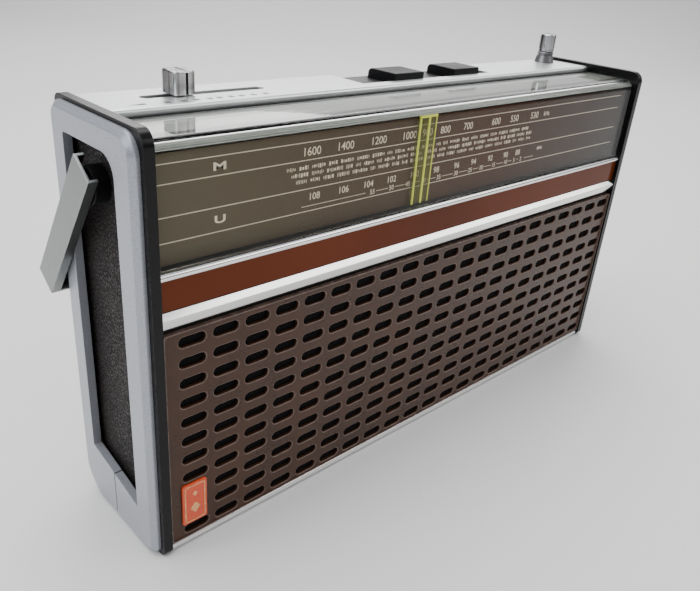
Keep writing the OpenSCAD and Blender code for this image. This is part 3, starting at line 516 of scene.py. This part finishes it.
def make_materials():
    plain = {
        "case_plastic": surface(
            "case_plastic", (0.010, 0.0095, 0.009), 0.46, grain=1500.0, relief=0.05,
            wear=(0.06, 0.056, 0.052), tone=0.7, Specular_IOR_Level=0.4),
        "plate_plastic": surface(
            "plate_plastic", (0.0045, 0.0042, 0.0045), 0.24, grain=2200.0, relief=0.004,
            wear=(0.07, 0.062, 0.055), wear_radius=0.4, tone=0.7, patch=30.0, vary=0.05,
            Specular_IOR_Level=0.2),
        "chrome_trim": surface(
            "chrome_trim", (0.88, 0.875, 0.86), 0.13, 1.0, tone=0.93, grain=700.0,
            stretch=(0.08, 1, 1), relief=0.004, vary=0.035),
        "red_gloss": surface(
            "red_gloss", (0.145, 0.031, 0.009), 0.14, tone=0.7, patch=12.0, vary=0.03,
            grain=1200.0, relief=0.002, Specular_IOR_Level=0.1),
        "grille_plastic": surface(
            "grille_plastic", (0.060, 0.024, 0.010), 0.30, tone=0.68, patch=60.0, vary=0.06,
            grain=1800.0, stretch=(0.15, 1, 1), relief=0.004, Specular_IOR_Level=0.3),
        # Painted highlight: the slot roundings and the raised grille rim are coloured lighter than the
        # grille face.
        "grille_edge": surface(
            "grille_edge", (0.15, 0.095, 0.075), 0.26, tone=0.6, patch=160.0, vary=0.08,
            grain=1500.0, relief=0.006),
        "badge_enamel": surface(
            "badge_enamel", (0.78, 0.07, 0.008), 0.16, tone=0.8, patch=200.0, vary=0.03,
            Coat_Weight=0.3, Coat_Roughness=0.05),
        "badge_gold": surface(
            "badge_gold", (0.90, 0.46, 0.20), 0.26, 0.7, tone=0.85, patch=300.0),
        "dial_black": surface(
            "dial_black", (0.008, 0.007, 0.006), 0.50, relief=0.02, tone=0.7,
            Specular_IOR_Level=0.3),
        "dial_cream": surface(
            "dial_cream", (0.92, 0.78, 0.60), 0.6, tone=0.85, patch=220.0, relief=0.002,
            Specular_IOR_Level=0.0),
        "steel": surface(
            "steel", (0.58, 0.58, 0.56), 0.34, 1.0, grain=1300.0, relief=0.01, tone=0.85),
        "white_plastic": surface(
            "white_plastic", (0.74, 0.71, 0.63), 0.42, tone=0.9, Subsurface_Weight=0.1),
        "control_black": surface(
            "control_black", (0.007, 0.007, 0.008), 0.44, grain=2000.0, relief=0.03, tone=0.7,
            wear=(0.07, 0.07, 0.07), wear_radius=0.4, wear_rough=0.3, Specular_IOR_Level=0.14),
        "collar_metal": surface(
            "collar_metal", (0.30, 0.295, 0.30), 0.36, 1.0, tone=0.7, patch=120.0),
        # Painted shadow: black for the strip that stands for the shaded groove behind the cover.
        "groove_shadow_black": surface(
            "groove_shadow_black", (0.006, 0.006, 0.006), 0.6, tone=0.7, patch=90.0, relief=0.01,
            Specular_IOR_Level=0.1),
        "liner_grey": surface(
            "liner_grey", (0.25, 0.26, 0.235), 0.4, tone=0.85, patch=90.0, relief=0.004),
        "pointer_carriage": surface(
            "pointer_carriage", (0.10, 0.11, 0.02), 0.35, tone=0.8, patch=300.0),
        "ferrite": surface("ferrite", (0.035, 0.034, 0.033), 0.55, 0.3, relief=0.06),
        "holder_plastic": surface("holder_plastic", (0.13, 0.13, 0.13), 0.5, relief=0.04),
        "contact_brass": surface(
            "contact_brass", (0.74, 0.64, 0.38), 0.32, 1.0, tone=0.7, patch=150.0),
        "magnet": surface("magnet", (0.12, 0.12, 0.125), 0.5, 0.6, relief=0.06),
        "cone_paper": surface(
            "cone_paper", (0.030, 0.027, 0.024), 0.85, grain=600.0, relief=0.15),
        "cord": surface("cord", (0.60, 0.53, 0.38), 0.7, grain=2500.0, relief=0.08),
        "handle_metal": surface(
            "handle_metal", (0.27, 0.285, 0.28), 0.36, 1.0, tone=0.86, grain=1200.0,
            stretch=(1, 1, 0.05), relief=0.008, wear=(0.92, 0.93, 0.93), wear_rough=0.15),
    }
    special = {
        "top_aluminium": brushed_aluminium(),
        # The dark and bright streak colours of both chromes are partly a painted reflection.
        "antenna_chrome": chrome_streaks_painted_reflection(
            "antenna_chrome", (0.06, 0.058, 0.056), (0.72, 0.72, 0.73), 0.12, 330.0),
        "chrome_plastic": chrome_streaks_painted_reflection(
            "chrome_plastic", (0.26, 0.245, 0.24), (0.62, 0.62, 0.63), 0.22, 420.0),
        "silver_frame": silver_paint(),
        "leatherette": leatherette(),
        "grille_fabric": grille_weave(),
        "clear_acrylic": clear_acrylic(),
        "pointer_acrylic": pointer_clear(),
        "pointer_edge": pointer_edge_painted_glow(),
        "dial_print": dial_background_painted_reflection(),
        "copper_wire": copper_winding(),
        "cell_wrap": cell_jacket(),
        "components": component_mix(),
        "board_laminate": board_laminate(),
    }
    return {**plain, **special}


MATERIALS = make_materials()


# ---- Carried-over CAD nodes ------------------------------------------------------------

# Width of the rounding on each node's edges, in millimetres
EDGE_ROUNDING = {
    "left_side_frame": 1.3, "right_side_frame": 1.3, "left_end_plate": 0.75,
    "right_end_plate": 0.75, "top_plate": 0.18, "top_frame": 0.2, "dial_cover": 0.22,
    "key_left": 0.45, "key_right": 0.45, "handle_strap": 0.22, "handle_grip": 0.5,
    "handle_end_blocks": 0.35, "trim_bar_upper": 0.12, "trim_bar_middle": 0.14,
    "trim_bar_lower": 0.15, "gloss_band": 0.15,
    "rear_cover": 0.3, "battery_door": 0.3, "tuning_knob": 0.3, "case_screws": 0.15,
    "earphone_socket": 0.3, "tuning_capacitor": 0.4,
    "board_components": 0.4, "key_switch_unit": 0.3, "volume_slider_unit": 0.3,
}


def soften(obj, width):
    """Rounds a CAD node's hard edges with modifiers, leaving its mesh as it is."""
    weld = obj.modifiers.new("weld", "WELD")
    weld.merge_threshold = 1e-6
    flats = obj.modifiers.new("flats", "DECIMATE")
    flats.decimate_type = "DISSOLVE"
    flats.angle_limit = math.radians(0.6)
    bevel = obj.modifiers.new("edges", "BEVEL")
    bevel.width = width * MM
    bevel.segments = 3
    bevel.limit_method = "ANGLE"
    bevel.angle_limit = math.radians(28)
    bevel.use_clamp_overlap = True
    normals = obj.modifiers.new("normals", "WEIGHTED_NORMAL")
    normals.keep_sharp = False
    normals.weight = 60


def dress_nodes():
    """Gives every CAD node its slot's material and rounds the edges of the visible ones."""
    slots = {part["node"]: part["material_slot"] for part in frame["record"]["subparts"]}
    for name, obj in NODES.items():
        obj.data.materials.clear()
        obj.data.materials.append(MATERIALS[slots[name]])
        if name in EDGE_ROUNDING:
            soften(obj, EDGE_ROUNDING[name])


# ---- Mesh helpers ------------------------------------------------------------------------


def place_object(name, bm, materials, body, replaced=()):
    """Turns a bmesh into a piece that rides on a body."""
    bmesh.ops.remove_doubles(bm, verts=bm.verts, dist=1e-7)
    bmesh.ops.recalc_face_normals(bm, faces=bm.faces)
    mesh = bpy.data.meshes.new(name)
    bm.to_mesh(mesh)
    bm.free()
    mesh.shade_smooth()
    mesh.set_sharp_from_angle(angle=math.radians(42))
    for material in materials:
        mesh.materials.append(MATERIALS[material])
    obj = bpy.data.objects.new(name, mesh)
    bpy.context.scene.collection.objects.link(obj)
    normals = obj.modifiers.new("normals", "WEIGHTED_NORMAL")
    normals.keep_sharp = True
    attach(obj, body)
    if replaced:
        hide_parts(*replaced)
    return obj


def rectangle(x0, z0, x1, z1, corner=0.0, steps=6):
    """Outline maker: a rectangle with round corners that grows by the offset it is given."""
    def outline(grow):
        if corner <= 0:
            return [(x0 - grow, z0 - grow), (x1 + grow, z0 - grow),
                    (x1 + grow, z1 + grow), (x0 - grow, z1 + grow)]
        radius = max(corner + grow, 0.02)
        inset = radius - grow
        centres = [(x1 - inset, z1 - inset, 0), (x0 + inset, z1 - inset, 90),
                   (x0 + inset, z0 + inset, 180), (x1 - inset, z0 + inset, 270)]
        points = []
        for cx, cz, start in centres:
            for i in range(steps + 1):
                angle = math.radians(start + 90 * i / steps)
                points.append((cx + radius * math.cos(angle), cz + radius * math.sin(angle)))
        return points
    return outline


def stadium(x, z, length, height):
    """Outline maker for a slot with round ends."""
    return rectangle(x - length / 2, z - height / 2, x + length / 2, z + height / 2,
                     height / 2 - 0.01, 7)


def scaled_outline(points):
    """Outline maker that shrinks a free outline towards its middle."""
    cx = sum(p[0] for p in points) / len(points)
    cz = sum(p[1] for p in points) / len(points)
    reach = max(math.hypot(p[0] - cx, p[1] - cz) for p in points)

    def outline(grow):
        factor = 1 + grow / reach
        return [(cx + (p[0] - cx) * factor, cz + (p[1] - cz) * factor) for p in points]
    return outline


def slab(bm, outer, holes, low, high, edge, to_world, material=0, steps=3, rim=None):
    """A plate with holes between two levels. Its front edges are rounded.

    The roundings of the holes take the rim material when one is given.
    """
    fronts, backs, made = [], [], []
    turns = [math.radians(90 - 90 * i / steps) for i in range(steps + 1)]
    for outline, sign in [(outer, -1)] + [(hole, 1) for hole in holes]:
        levels = [(high - edge * (1 - math.sin(a)), sign * edge * (1 - math.cos(a))) for a in turns]
        levels.append((low, 0.0))
        rings = [[bm.verts.new(to_world(u, v, level)) for u, v in outline(grow)]
                 for level, grow in levels]
        for index, (a, b) in enumerate(zip(rings, rings[1:])):
            rounding = sign > 0 and rim is not None and index < steps
            for i in range(len(a)):
                k = (i + 1) % len(a)
                face = bm.faces.new((a[i], a[k], b[k], b[i]))
                face.material_index = rim if rounding else material
        fronts.append(rings[0])
        backs.append(rings[-1])
    for loops in (fronts, backs):
        if not holes:
            made.append(bm.faces.new(loops[0]))
            continue
        edges = [bm.edges.get((ring[i], ring[(i + 1) % len(ring)]))
                 for ring in loops for i in range(len(ring))]
        filled = bmesh.ops.triangle_fill(bm, use_beauty=True, edges=edges)
        made += [f for f in filled["geom"] if isinstance(f, bmesh.types.BMFace)]
    for face in made:
        face.material_index = material


def facing_front(u, v, level):
    """Slab coordinates to world: u across, v up, level towards the viewer (minus depth)."""
    return at(u, -level, v)


def facing_up(u, v, level):
    """Slab coordinates to world: u across, v depth, level up."""
    return at(u, v, level)


def facing_back(u, v, level):
    """Slab coordinates to world: u across, v up, level towards the back."""
    return at(u, level, v)


def block(bm, x, d, z, material=0):
    """A small box from three (low, high) pairs in millimetres."""
    corners = [bm.verts.new(at(x[i], d[j], z[k])) for i in (0, 1) for j in (0, 1) for k in (0, 1)]
    for a, b, c, e in ((0, 1, 3, 2), (4, 6, 7, 5), (0, 4, 5, 1), (2, 3, 7, 6), (0, 2, 6, 4), (1, 5, 7, 3)):
        bm.faces.new([corners[i] for i in (a, b, c, e)]).material_index = material


def turned(bm, profile, centre, axis, steps=48, materials=None):
    """A turned shape: profile is (distance along the axis, radius) in millimetres."""
    along = Vector(axis).normalized()
    side = along.orthogonal().normalized()
    up = along.cross(side)
    rings = []
    for s, r in profile:
        middle = centre + along * s * MM
        if r <= 0:
            rings.append([bm.verts.new(middle)])
            continue
        rings.append([bm.verts.new(middle + (side * math.cos(2 * math.pi * i / steps)
                                             + up * math.sin(2 * math.pi * i / steps)) * r * MM)
                      for i in range(steps)])
    for index, (a, b) in enumerate(zip(rings, rings[1:])):
        for i in range(steps):
            k = (i + 1) % steps
            corners = [a[0]] if len(a) == 1 else [a[i], a[k]]
            corners += [b[0]] if len(b) == 1 else [b[k], b[i]]
            face = bm.faces.new(corners)
            face.material_index = materials[index] if materials else 0


# ---- Pieces --------------------------------------------------------------------------------


def make_grille():
    """Grille panel with rounded slots inside a raised rim."""
    (x0, x1), (d0, d1), (z0, z1) = in_mm(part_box("speaker_grille"))
    back, front = -d1, -d0
    face = front - 0.5
    inner = GRILLE_RIM
    slots = []
    for column in range(GRILLE_COLS):
        for row in range(GRILLE_ROWS):
            if column == 0 and row in BADGE_ROWS:
                continue
            x = SLOT_SHIFT + (column - (GRILLE_COLS - 1) / 2) * SLOT_PITCH_X
            slots.append(stadium(x, SLOT_FIRST_Z + row * SLOT_PITCH_Z, SLOT_LENGTH, SLOT_HEIGHT))
    bm = bmesh.new()
    # The slot roundings and the raised rim take grille_edge, whose lighter colour is a painted highlight.
    slab(bm, rectangle(x0 + 0.1, z0 + 0.1, x1 - 0.1, z1 - 0.1), slots, back, face, SLOT_RIM,
         facing_front, rim=1)
    opening = rectangle(x0 + inner, z0 + inner, x1 - inner, z1 - inner, 1.2)
    slab(bm, rectangle(x0, z0, x1, z1, 0.8), [opening], back, front, 0.22, facing_front, 1)
    place_object("grille_panel", bm, ["grille_plastic", "grille_edge"], "case",
                 ["speaker_grille"])


def make_badge():
    """Enamelled badge with a gold border and two plain diamonds."""
    (x0, x1), (d0, d1), (z0, z1) = in_mm(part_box("badge"))
    back, front = -d1, -d0
    bm = bmesh.new()
    slab(bm, rectangle(x0, z0, x1, z1, 1.0), [], back, front - 0.15, 0.3, facing_front)
    border = rectangle(x0 + 1.25, z0 + 1.25, x1 - 1.25, z1 - 1.25, 0.8)
    slab(bm, rectangle(x0 + 0.8, z0 + 0.8, x1 - 0.8, z1 - 0.8, 1.1), [border],
         front - 0.3, front, 0.08, facing_front, 1)
    cx, cz = (x0 + x1) / 2, (z0 + z1) / 2
    for middle, reach in ((cz - 2.2, 2.5), (cz + 4.0, 1.2)):
        diamond = [(cx, middle - reach), (cx + reach * 0.8, middle), (cx, middle + reach),
                   (cx - reach * 0.8, middle)]
        slab(bm, scaled_outline(diamond), [], front - 0.3, front, 0.12, facing_front, 1)
    place_object("badge_plate", bm, ["badge_enamel", "badge_gold"], "case", ["badge"])


def make_volume_knob():
    """Ribbed slider cap, with a dark line along its top and down its front."""
    (x0, x1), (d0, d1), (foot, top) = in_mm(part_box("volume_knob"))
    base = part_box("top_plate")[1].z / MM + 0.4
    pitch = (d1 - d0 - 1.2) / KNOB_RIBS
    right = []
    for i in range(KNOB_RIBS):
        start = d0 + 0.6 + i * pitch
        right += [(x1 - 0.35, start), (x1, start + pitch * 0.3), (x1, start + pitch * 0.7),
                  (x1 - 0.35, start + pitch)]
    middle = (x0 + x1) / 2
    left = [(2 * middle - x, d0 + d1 - d) for x, d in right]
    outline = [(x0 + 0.6, d0), (x1 - 0.6, d0)] + right + [(x1 - 0.6, d1), (x0 + 0.6, d1)] + left
    bm = bmesh.new()
    slab(bm, scaled_outline(outline), [], base, top, 0.7, facing_up, steps=4)
    block(bm, (middle - 1.5, middle + 1.5),
          ((d0 + d1) / 2 - 0.8, (d0 + d1) / 2 + 0.8), (foot, base + 0.1))
    place_object("volume_cap", bm, ["chrome_plastic"], "volume", ["volume_knob"])
    bm = bmesh.new()
    block(bm, (middle + 0.2, middle + 1.1), (d0 + 0.7, d1 - 0.7), (top - 0.3, top + 0.03))
    block(bm, (middle + 0.2, middle + 1.1), (d0 - 0.02, d0 + 0.2), (base + 0.1, top - 0.55))
    place_object("volume_mark", bm, ["control_black"], "volume")


def text_mesh(bm, text, x, z, height, d, stretch=1.0, bold=0.02):
    """Adds one printed figure, centred on x, to a bmesh."""
    curve = bpy.data.curves.new("figure", "FONT")
    curve.body = text
    curve.size = height * MM * FONT_RATIO
    curve.align_x = "CENTER"
    curve.extrude = 0.015 * MM
    curve.offset = bold * MM
    curve.resolution_u = 4
    obj = bpy.data.objects.new("figure", curve)
    bpy.context.scene.collection.objects.link(obj)
    bpy.context.view_layer.update()
    mesh = bpy.data.meshes.new_from_object(obj.evaluated_get(bpy.context.evaluated_depsgraph_get()))
    upright = Matrix.Rotation(math.radians(90), 4, "X") @ Matrix.Diagonal((stretch, 1, 1, 1))
    mesh.transform(Matrix.Translation(at(x, d, z - height / 2)) @ upright)
    bm.from_mesh(mesh)
    bpy.data.objects.remove(obj)
    bpy.data.meshes.remove(mesh)
    bpy.data.curves.remove(curve)


def make_dial_print():
    """Lines, figures and plain tick groups on the dial, seen through the cover.

    The figures sit PRINT_SHIFT to the left of where they appear, because the cover bends the view.
    """
    face = (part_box("dial_scale")[0].y - FRONT_Y) / MM
    layer = (face - PRINT_T, face)
    letters = face - 0.02
    bm = bmesh.new()
    for z in RULES_Z:
        block(bm, RULE_X, layer, (z - RULE_HALF, z + RULE_HALF))
    text_mesh(bm, "M", BAND_NAME_X, UPPER_ROW_Z, 2.5, letters, 1.9, 0.08)
    text_mesh(bm, "U", BAND_NAME_X, LOWER_NAME_Z, 2.5, letters, 1.8, 0.08)
    for x, figure in MEDIUM_WAVE:
        height = 2.0 if figure == "kHz" else 2.9
        text_mesh(bm, figure, x - PRINT_SHIFT, UPPER_ROW_Z, height, letters)
    for x, figure in VERY_HIGH:
        height = 1.6 if figure == "MHz" else 2.5
        text_mesh(bm, figure, x - PRINT_SHIFT, LOWER_ROW_Z, height, letters)
    for x, figure in CHANNELS:
        text_mesh(bm, figure, x - PRINT_SHIFT, CHANNEL_Z, 1.9, letters)
    dash = (CHANNEL_Z - 0.1, CHANNEL_Z + 0.1)
    for (a, _), (b, _) in zip(CHANNELS, CHANNELS[1:]):
        start, end = a + CHANNEL_GAP - PRINT_SHIFT, b - CHANNEL_GAP - PRINT_SHIFT
        if end > start + 1:
            block(bm, (start, end), layer, dash)
    block(bm, (-78, -48), layer, dash)
    block(bm, (51, 58), layer, dash)
    chance = random.Random(7)
    for row, z in enumerate(STATION_ROWS_Z):
        x = -84.8 + 2 * row
        end = 48.0 + 2.5 * row
        while x < end:
            for _ in range(chance.randint(4, 9)):
                width = chance.choice((0.22, 0.30, 0.75))
                height = chance.choice((0.45, 0.62, 0.70))
                lift = chance.choice((-0.12, 0.0, 0.0))
                block(bm, (x, x + width), layer, (z + lift - height, z + lift + height))
                x += width + 0.42
            x += 1.3
    place_object("dial_printing", bm, ["dial_cream"], "case")


def make_top_marks():
    """Volume scale printed on the top plate: a thin wedge and a row of double ticks."""
    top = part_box("top_plate")[1].z / MM
    layer = (top - 0.02, top + 0.02)
    bm = bmesh.new()
    for x in VOLUME_TICKS:
        block(bm, (x - 0.4, x + 0.3), TICK_DEPTHS, layer)
        block(bm, (x + 0.7, x + 1.4), TICK_DEPTHS, layer)
    points = [bm.verts.new(at(x, d, z)) for z in layer for x, d in MARK_WEDGE]
    bm.faces.new(points[:3])
    bm.faces.new(points[3:])
    for i in range(3):
        k = (i + 1) % 3
        bm.faces.new((points[i], points[k], points[k + 3], points[i + 3]))
    place_object("top_plate_marks", bm, ["control_black"], "case")


def make_pointer():
    """Fluorescent pointer: clear panels between three ribs with a painted glow, and its carriage."""
    low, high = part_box("dial_pointer")
    d0 = (low.y - FRONT_Y) / MM
    d1 = (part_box("dial_scale")[0].y - FRONT_Y) / MM - 0.3
    middle = (low.x + high.x) / 2 / MM
    half = POINTER_HALF
    z0, z1 = low.z / MM, high.z / MM
    bm = bmesh.new()
    panel = rectangle(middle - half + 0.1, z0 + 0.3, middle + half - 0.1, z1 - 0.5)
    slab(bm, panel, [], -d1, -d0 - 0.5, 0.2, facing_front)
    for left, width, front in ((-half, 0.5, d0), (0.1, 0.6, d0), (half - 0.34, 0.34, d0 + 0.3)):
        rib = rectangle(middle + left, z0, middle + left + width, z1 - 0.4)
        slab(bm, rib, [], -d0 - 0.7, -front, 0.12, facing_front, 1)
    crown = rectangle(middle - half, z1 - 0.9, middle + half, z1, 0.3)
    slab(bm, crown, [], -d0 - 1.0, -d0, 0.2, facing_front, 1)
    block(bm, (middle - 3, middle + 3), (d1 - 0.1, 18.4), (z1 - 0.7, z1 - 0.1), 2)
    for start, end in ((11.0, 12.3), (15.0, 18.6)):
        block(bm, (middle - 5, middle + 5), (start, end), (CARRIAGE_Z, z1 - 0.6), 2)
    place_object("pointer_strip", bm, ["pointer_acrylic", "pointer_edge", "pointer_carriage"],
                 "pointer", ["dial_pointer"])


def make_antenna_top():
    """Cap with its rod, and the flared collar that the closed antenna stands in."""
    low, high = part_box("antenna_tip")
    axis = Vector(((low.x + high.x) / 2, (low.y + high.y) / 2, 0.0))
    top = high.z / MM
    radius = (high.x - low.x) / 2 / MM
    bottom = top - CAP_LENGTH
    profile = [(low.z / MM, 0.0), (low.z / MM, ROD_RADIUS), (bottom, ROD_RADIUS), (bottom, radius - 0.5),
               (bottom + 0.3, radius - 0.1), (bottom + 0.9, radius - 0.1), (bottom + 1.0, radius - 0.3),
               (bottom + 1.2, radius - 0.3), (bottom + 1.3, radius), (top - 0.6, radius),
               (top - 0.35, radius - 0.1), (top - 0.15, radius - 0.35), (top, radius - 0.8), (top, 0.0)]
    bm = bmesh.new()
    turned(bm, profile, axis, (0, 0, 1), 64)
    place_object("antenna_cap", bm, ["antenna_chrome"], "antenna_end",
                 ["antenna_tip"])
    low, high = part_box("antenna_collar")
    foot, rim = low.z / MM, high.z / MM
    wide = (high.x - low.x) / 2 / MM
    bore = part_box("antenna_tube")
    inner = (bore[1].x - bore[0].x) / 2 / MM
    profile = [(foot, inner), (foot, wide), (foot + 0.5, wide), (foot + 0.8, wide - 0.15),
               (foot + 2.6, wide - 0.55), (rim - 1.7, wide - 0.75), (rim - 1.5, wide - 1.1),
               (rim - 1.1, wide - 1.1), (rim - 0.9, wide - 0.8), (rim - 0.2, wide - 0.8),
               (rim, wide - 1.0), (rim, inner), (foot, inner)]
    bm = bmesh.new()
    turned(bm, profile, axis, (0, 0, 1), 64)
    place_object("antenna_flange", bm, ["collar_metal"], "case", ["antenna_collar"])


def make_dial_liner():
    """Pale strip under the clear cover. Its fluted front curls down inside the cover's corner."""
    low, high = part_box("dial_surround")
    cover_low, cover_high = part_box("dial_cover")
    middle_d = (cover_low.y - FRONT_Y) / MM + COVER_ROUND
    middle_z = cover_high.z / MM - COVER_ROUND
    back, top = (high.y - FRONT_Y) / MM - 0.1, high.z / MM
    profile = []
    for step in range(2 * FLUTES + 1):
        turn = math.radians(LINER_START + (90 - LINER_START) * step / (2 * FLUTES))
        reach = LINER_GROOVE if step % 2 else LINER_RIDGE
        profile.append((middle_d - reach * math.cos(turn), middle_z + reach * math.sin(turn)))
    profile += [(back, top + 0.06), (back, top - 0.05)]
    for turn in (math.radians(90), math.radians(58), math.radians(LINER_START)):
        profile.append((middle_d - LINER_INNER * math.cos(turn),
                        middle_z + LINER_INNER * math.sin(turn)))
    bm = bmesh.new()
    ends = [[bm.verts.new(at(x, d, z)) for d, z in profile]
            for x in (low.x / MM + 0.2, high.x / MM - 0.2)]
    for i in range(len(profile)):
        k = (i + 1) % len(profile)
        bm.faces.new((ends[0][i], ends[0][k], ends[1][k], ends[1][i]))
    for end in ends:
        bm.faces.new(end)
    place_object("dial_liner", bm, ["liner_grey"], "case")


def make_cover_groove_shadow():
    """Painted shadow: a black strip where the clear cover meets the lip of the top plate, standing for the
    shade in the groove there.
    """
    (x0, x1), _, (_, top) = in_mm(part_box("dial_cover"))
    lip = (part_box("top_plate")[0].y - FRONT_Y) / MM
    bm = bmesh.new()
    strip = rectangle(x0 + 0.1, lip - 1.4, x1 - 0.1, lip - 0.05)
    slab(bm, strip, [], top - 0.05, top + 0.12, 0.05, facing_up)
    place_object("cover_groove_shadow", bm, ["groove_shadow_black"], "case")


def make_batteries():
    """Two rows of cells in printed jackets, with bare ends."""
    low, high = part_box("batteries")
    radius = CELL_RADIUS
    length = CELL_LENGTH
    depth_mid = (low.y + high.y) / 2
    profile = [(0.5, 0.0), (0.5, 8.5), (0.0, 9.2), (0.0, 11.9), (0.5, 12.6), (1.3, radius),
               (length - 1.6, radius), (length - 0.7, 12.5), (length - 0.4, 11.5),
               (length - 0.9, 10.2), (length - 0.5, 5.6), (length, 3.2), (length + 1.4, 3.0),
               (length + 1.8, 2.4), (length + 1.8, 0.0)]
    jacket, bare = 0, 1
    bands = [bare] * 5 + [jacket] + [bare] * 8
    for row, z in enumerate((low.z + radius * MM, high.z - radius * MM)):
        for column in range(CELL_COLUMNS):
            start = Vector((low.x + column * CELL_PITCH * MM, depth_mid, z))
            bm = bmesh.new()
            turned(bm, profile, Vector((0, 0, 0)), (1, 0, 0), 56, bands)
            obj = place_object(f"cell_{row}_{column}", bm, ["cell_wrap", "steel"], "case")
            obj.location = start
            if row == 0 and column == 0:
                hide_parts("batteries")


def make_rear_details():
    """Finger ribs on the battery door and a bright ring round the earphone socket."""
    low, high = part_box("battery_door")
    x = (low.x + high.x) / 2 / MM
    back = (high.y - FRONT_Y) / MM
    top = high.z / MM
    bm = bmesh.new()
    for i in range(5):
        z = top - 4.0 - 2.2 * i
        slab(bm, stadium(x, z, 34 - 2 * i, 1.1), [], back - 0.2, back + 0.55, 0.45, facing_back)
    place_object("door_finger_ribs", bm, ["case_plastic"], "door")
    bm = bmesh.new()
    socket_low, socket_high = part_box("earphone_socket")
    centre = (socket_low + socket_high) / 2
    profile = [(-0.3, 2.2), (0.5, 2.2), (0.7, 2.5), (0.7, 4.6), (0.4, 5.2), (-0.3, 5.2), (-0.3, 2.2)]
    turned(bm, profile, Vector((centre.x, depth(back), centre.z)), (0, 1, 0), 40)
    place_object("socket_ring", bm, ["chrome_plastic"], "case")


# ---- Camera, floor and lights -----------------------------------------------------------------


def make_camera():
    """Camera at the photograph's viewing angle."""
    forward = Vector((math.sin(CAMERA_TURN) * math.cos(CAMERA_DOWN),
                      math.cos(CAMERA_TURN) * math.cos(CAMERA_DOWN), -math.sin(CAMERA_DOWN)))
    right = forward.cross(Vector((0, 0, 1))).normalized()
    up = right.cross(forward)
    side = math.cos(CAMERA_ROLL) * right + math.sin(CAMERA_ROLL) * up
    top = math.cos(CAMERA_ROLL) * up - math.sin(CAMERA_ROLL) * right
    pose = Matrix((side, top, -forward)).transposed().to_4x4()
    data = bpy.data.cameras.new("camera")
    data.lens = CAMERA_LENS
    data.sensor_width = 36.0
    data.clip_start = 0.01
    camera = bpy.data.objects.new("camera", data)
    camera.matrix_world = Matrix.Translation(CAMERA_PLACE) @ pose
    bpy.context.scene.collection.objects.link(camera)
    bpy.context.scene.camera = camera


def make_floor():
    """Seamless pale floor that curves up into a backdrop behind the radio."""
    bend = BACKDROP_BEND
    profile = [(-FLOOR_NEAR, 0.0), (FLOOR_FAR, 0.0)]
    for i in range(1, BEND_STEPS + 1):
        angle = math.radians(90 * i / BEND_STEPS)
        profile.append((FLOOR_FAR + bend * math.sin(angle), bend * (1 - math.cos(angle))))
    profile.append((FLOOR_FAR + bend, bend + BACKDROP_WALL))
    away = Vector((math.sin(CAMERA_TURN), math.cos(CAMERA_TURN), 0))
    across = Vector((away.y, -away.x, 0))
    bm = bmesh.new()
    rows = []
    for run, height in profile:
        rows.append([bm.verts.new(away * run + across * side * FLOOR_HALF_WIDTH + Vector((0, 0, height)))
                     for side in (-1, 1)])
    for a, b in zip(rows, rows[1:]):
        bm.faces.new((a[0], a[1], b[1], b[0]))
    mesh = bpy.data.meshes.new("floor")
    bm.to_mesh(mesh)
    bm.free()
    mesh.shade_smooth()
    mesh.materials.append(floor_look())
    floor = bpy.data.objects.new("floor", mesh)
    bpy.context.scene.collection.objects.link(floor)


def area_light(name, place, target, size, power, colour):
    """A rectangular lamp turned towards its target."""
    data = bpy.data.lights.new(name, "AREA")
    data.shape = "RECTANGLE"
    data.size, data.size_y = size
    data.energy = power
    data.color = colour
    light = bpy.data.objects.new(name, data)
    light.location = place
    light.rotation_euler = (Vector(target) - Vector(place)).to_track_quat("-Z", "Y").to_euler()
    bpy.context.scene.collection.objects.link(light)


def make_world():
    """Even surroundings, dim near the horizon and brighter overhead.

    Where the camera sees them directly they are no dimmer than SEEN_STRENGTH.
    """
    world = bpy.data.worlds.new("studio")
    world.use_nodes = True
    tree = world.node_tree
    background = tree.nodes["Background"]
    background.inputs["Color"].default_value = (0.92, 0.94, 1.0, 1.0)
    direction = tree.nodes.new("ShaderNodeTexCoord")
    split = tree.nodes.new("ShaderNodeSeparateXYZ")
    rise = tree.nodes.new("ShaderNodeMapRange")
    rise.inputs["From Min"].default_value = 0.05
    rise.inputs["From Max"].default_value = 0.5
    rise.inputs["To Min"].default_value = 0.15
    rise.inputs["To Max"].default_value = 0.62
    tree.links.new(direction.outputs["Generated"], split.inputs[0])
    tree.links.new(split.outputs["Z"], rise.inputs["Value"])
    path = tree.nodes.new("ShaderNodeLightPath")
    seen = tree.nodes.new("ShaderNodeMath")
    seen.operation = "MULTIPLY"
    seen.inputs[1].default_value = SEEN_STRENGTH
    tree.links.new(path.outputs["Is Camera Ray"], seen.inputs[0])
    strength = tree.nodes.new("ShaderNodeMath")
    strength.operation = "MAXIMUM"
    tree.links.new(rise.outputs["Result"], strength.inputs[0])
    tree.links.new(seen.outputs[0], strength.inputs[1])
    tree.links.new(strength.outputs[0], background.inputs["Strength"])
    bpy.context.scene.world = world


def make_lights():
    """Four soft lamps: overhead, behind, at the right front and at the left."""
    centre = (0, 0, 0.08)
    area_light("overhead", (-0.1, 0.2, 1.15), centre, (1.3, 0.9), 15.0, (1.0, 0.99, 0.97))
    area_light("behind", (0.95, 0.95, 0.85), (0, 0, 0.15), (1.5, 0.8), 11.0, (1.0, 0.995, 0.98))
    area_light("right_front", (0.95, -0.85, 0.85), (0, 0, 0.1), (1.1, 0.6), 6.0, (1.0, 0.98, 0.95))
    area_light("left", (-1.1, 0.1, 0.6), centre, (0.8, 0.9), 5.0, (0.93, 0.96, 1.0))


def main():
    """Builds the scene."""
    make_camera()
    make_floor()
    make_world()
    make_lights()
    dress_nodes()
    make_grille()
    make_badge()
    make_volume_knob()
    make_dial_print()
    make_top_marks()
    make_pointer()
    make_antenna_top()
    make_dial_liner()
    make_cover_groove_shadow()
    make_batteries()
    make_rear_details()


main()
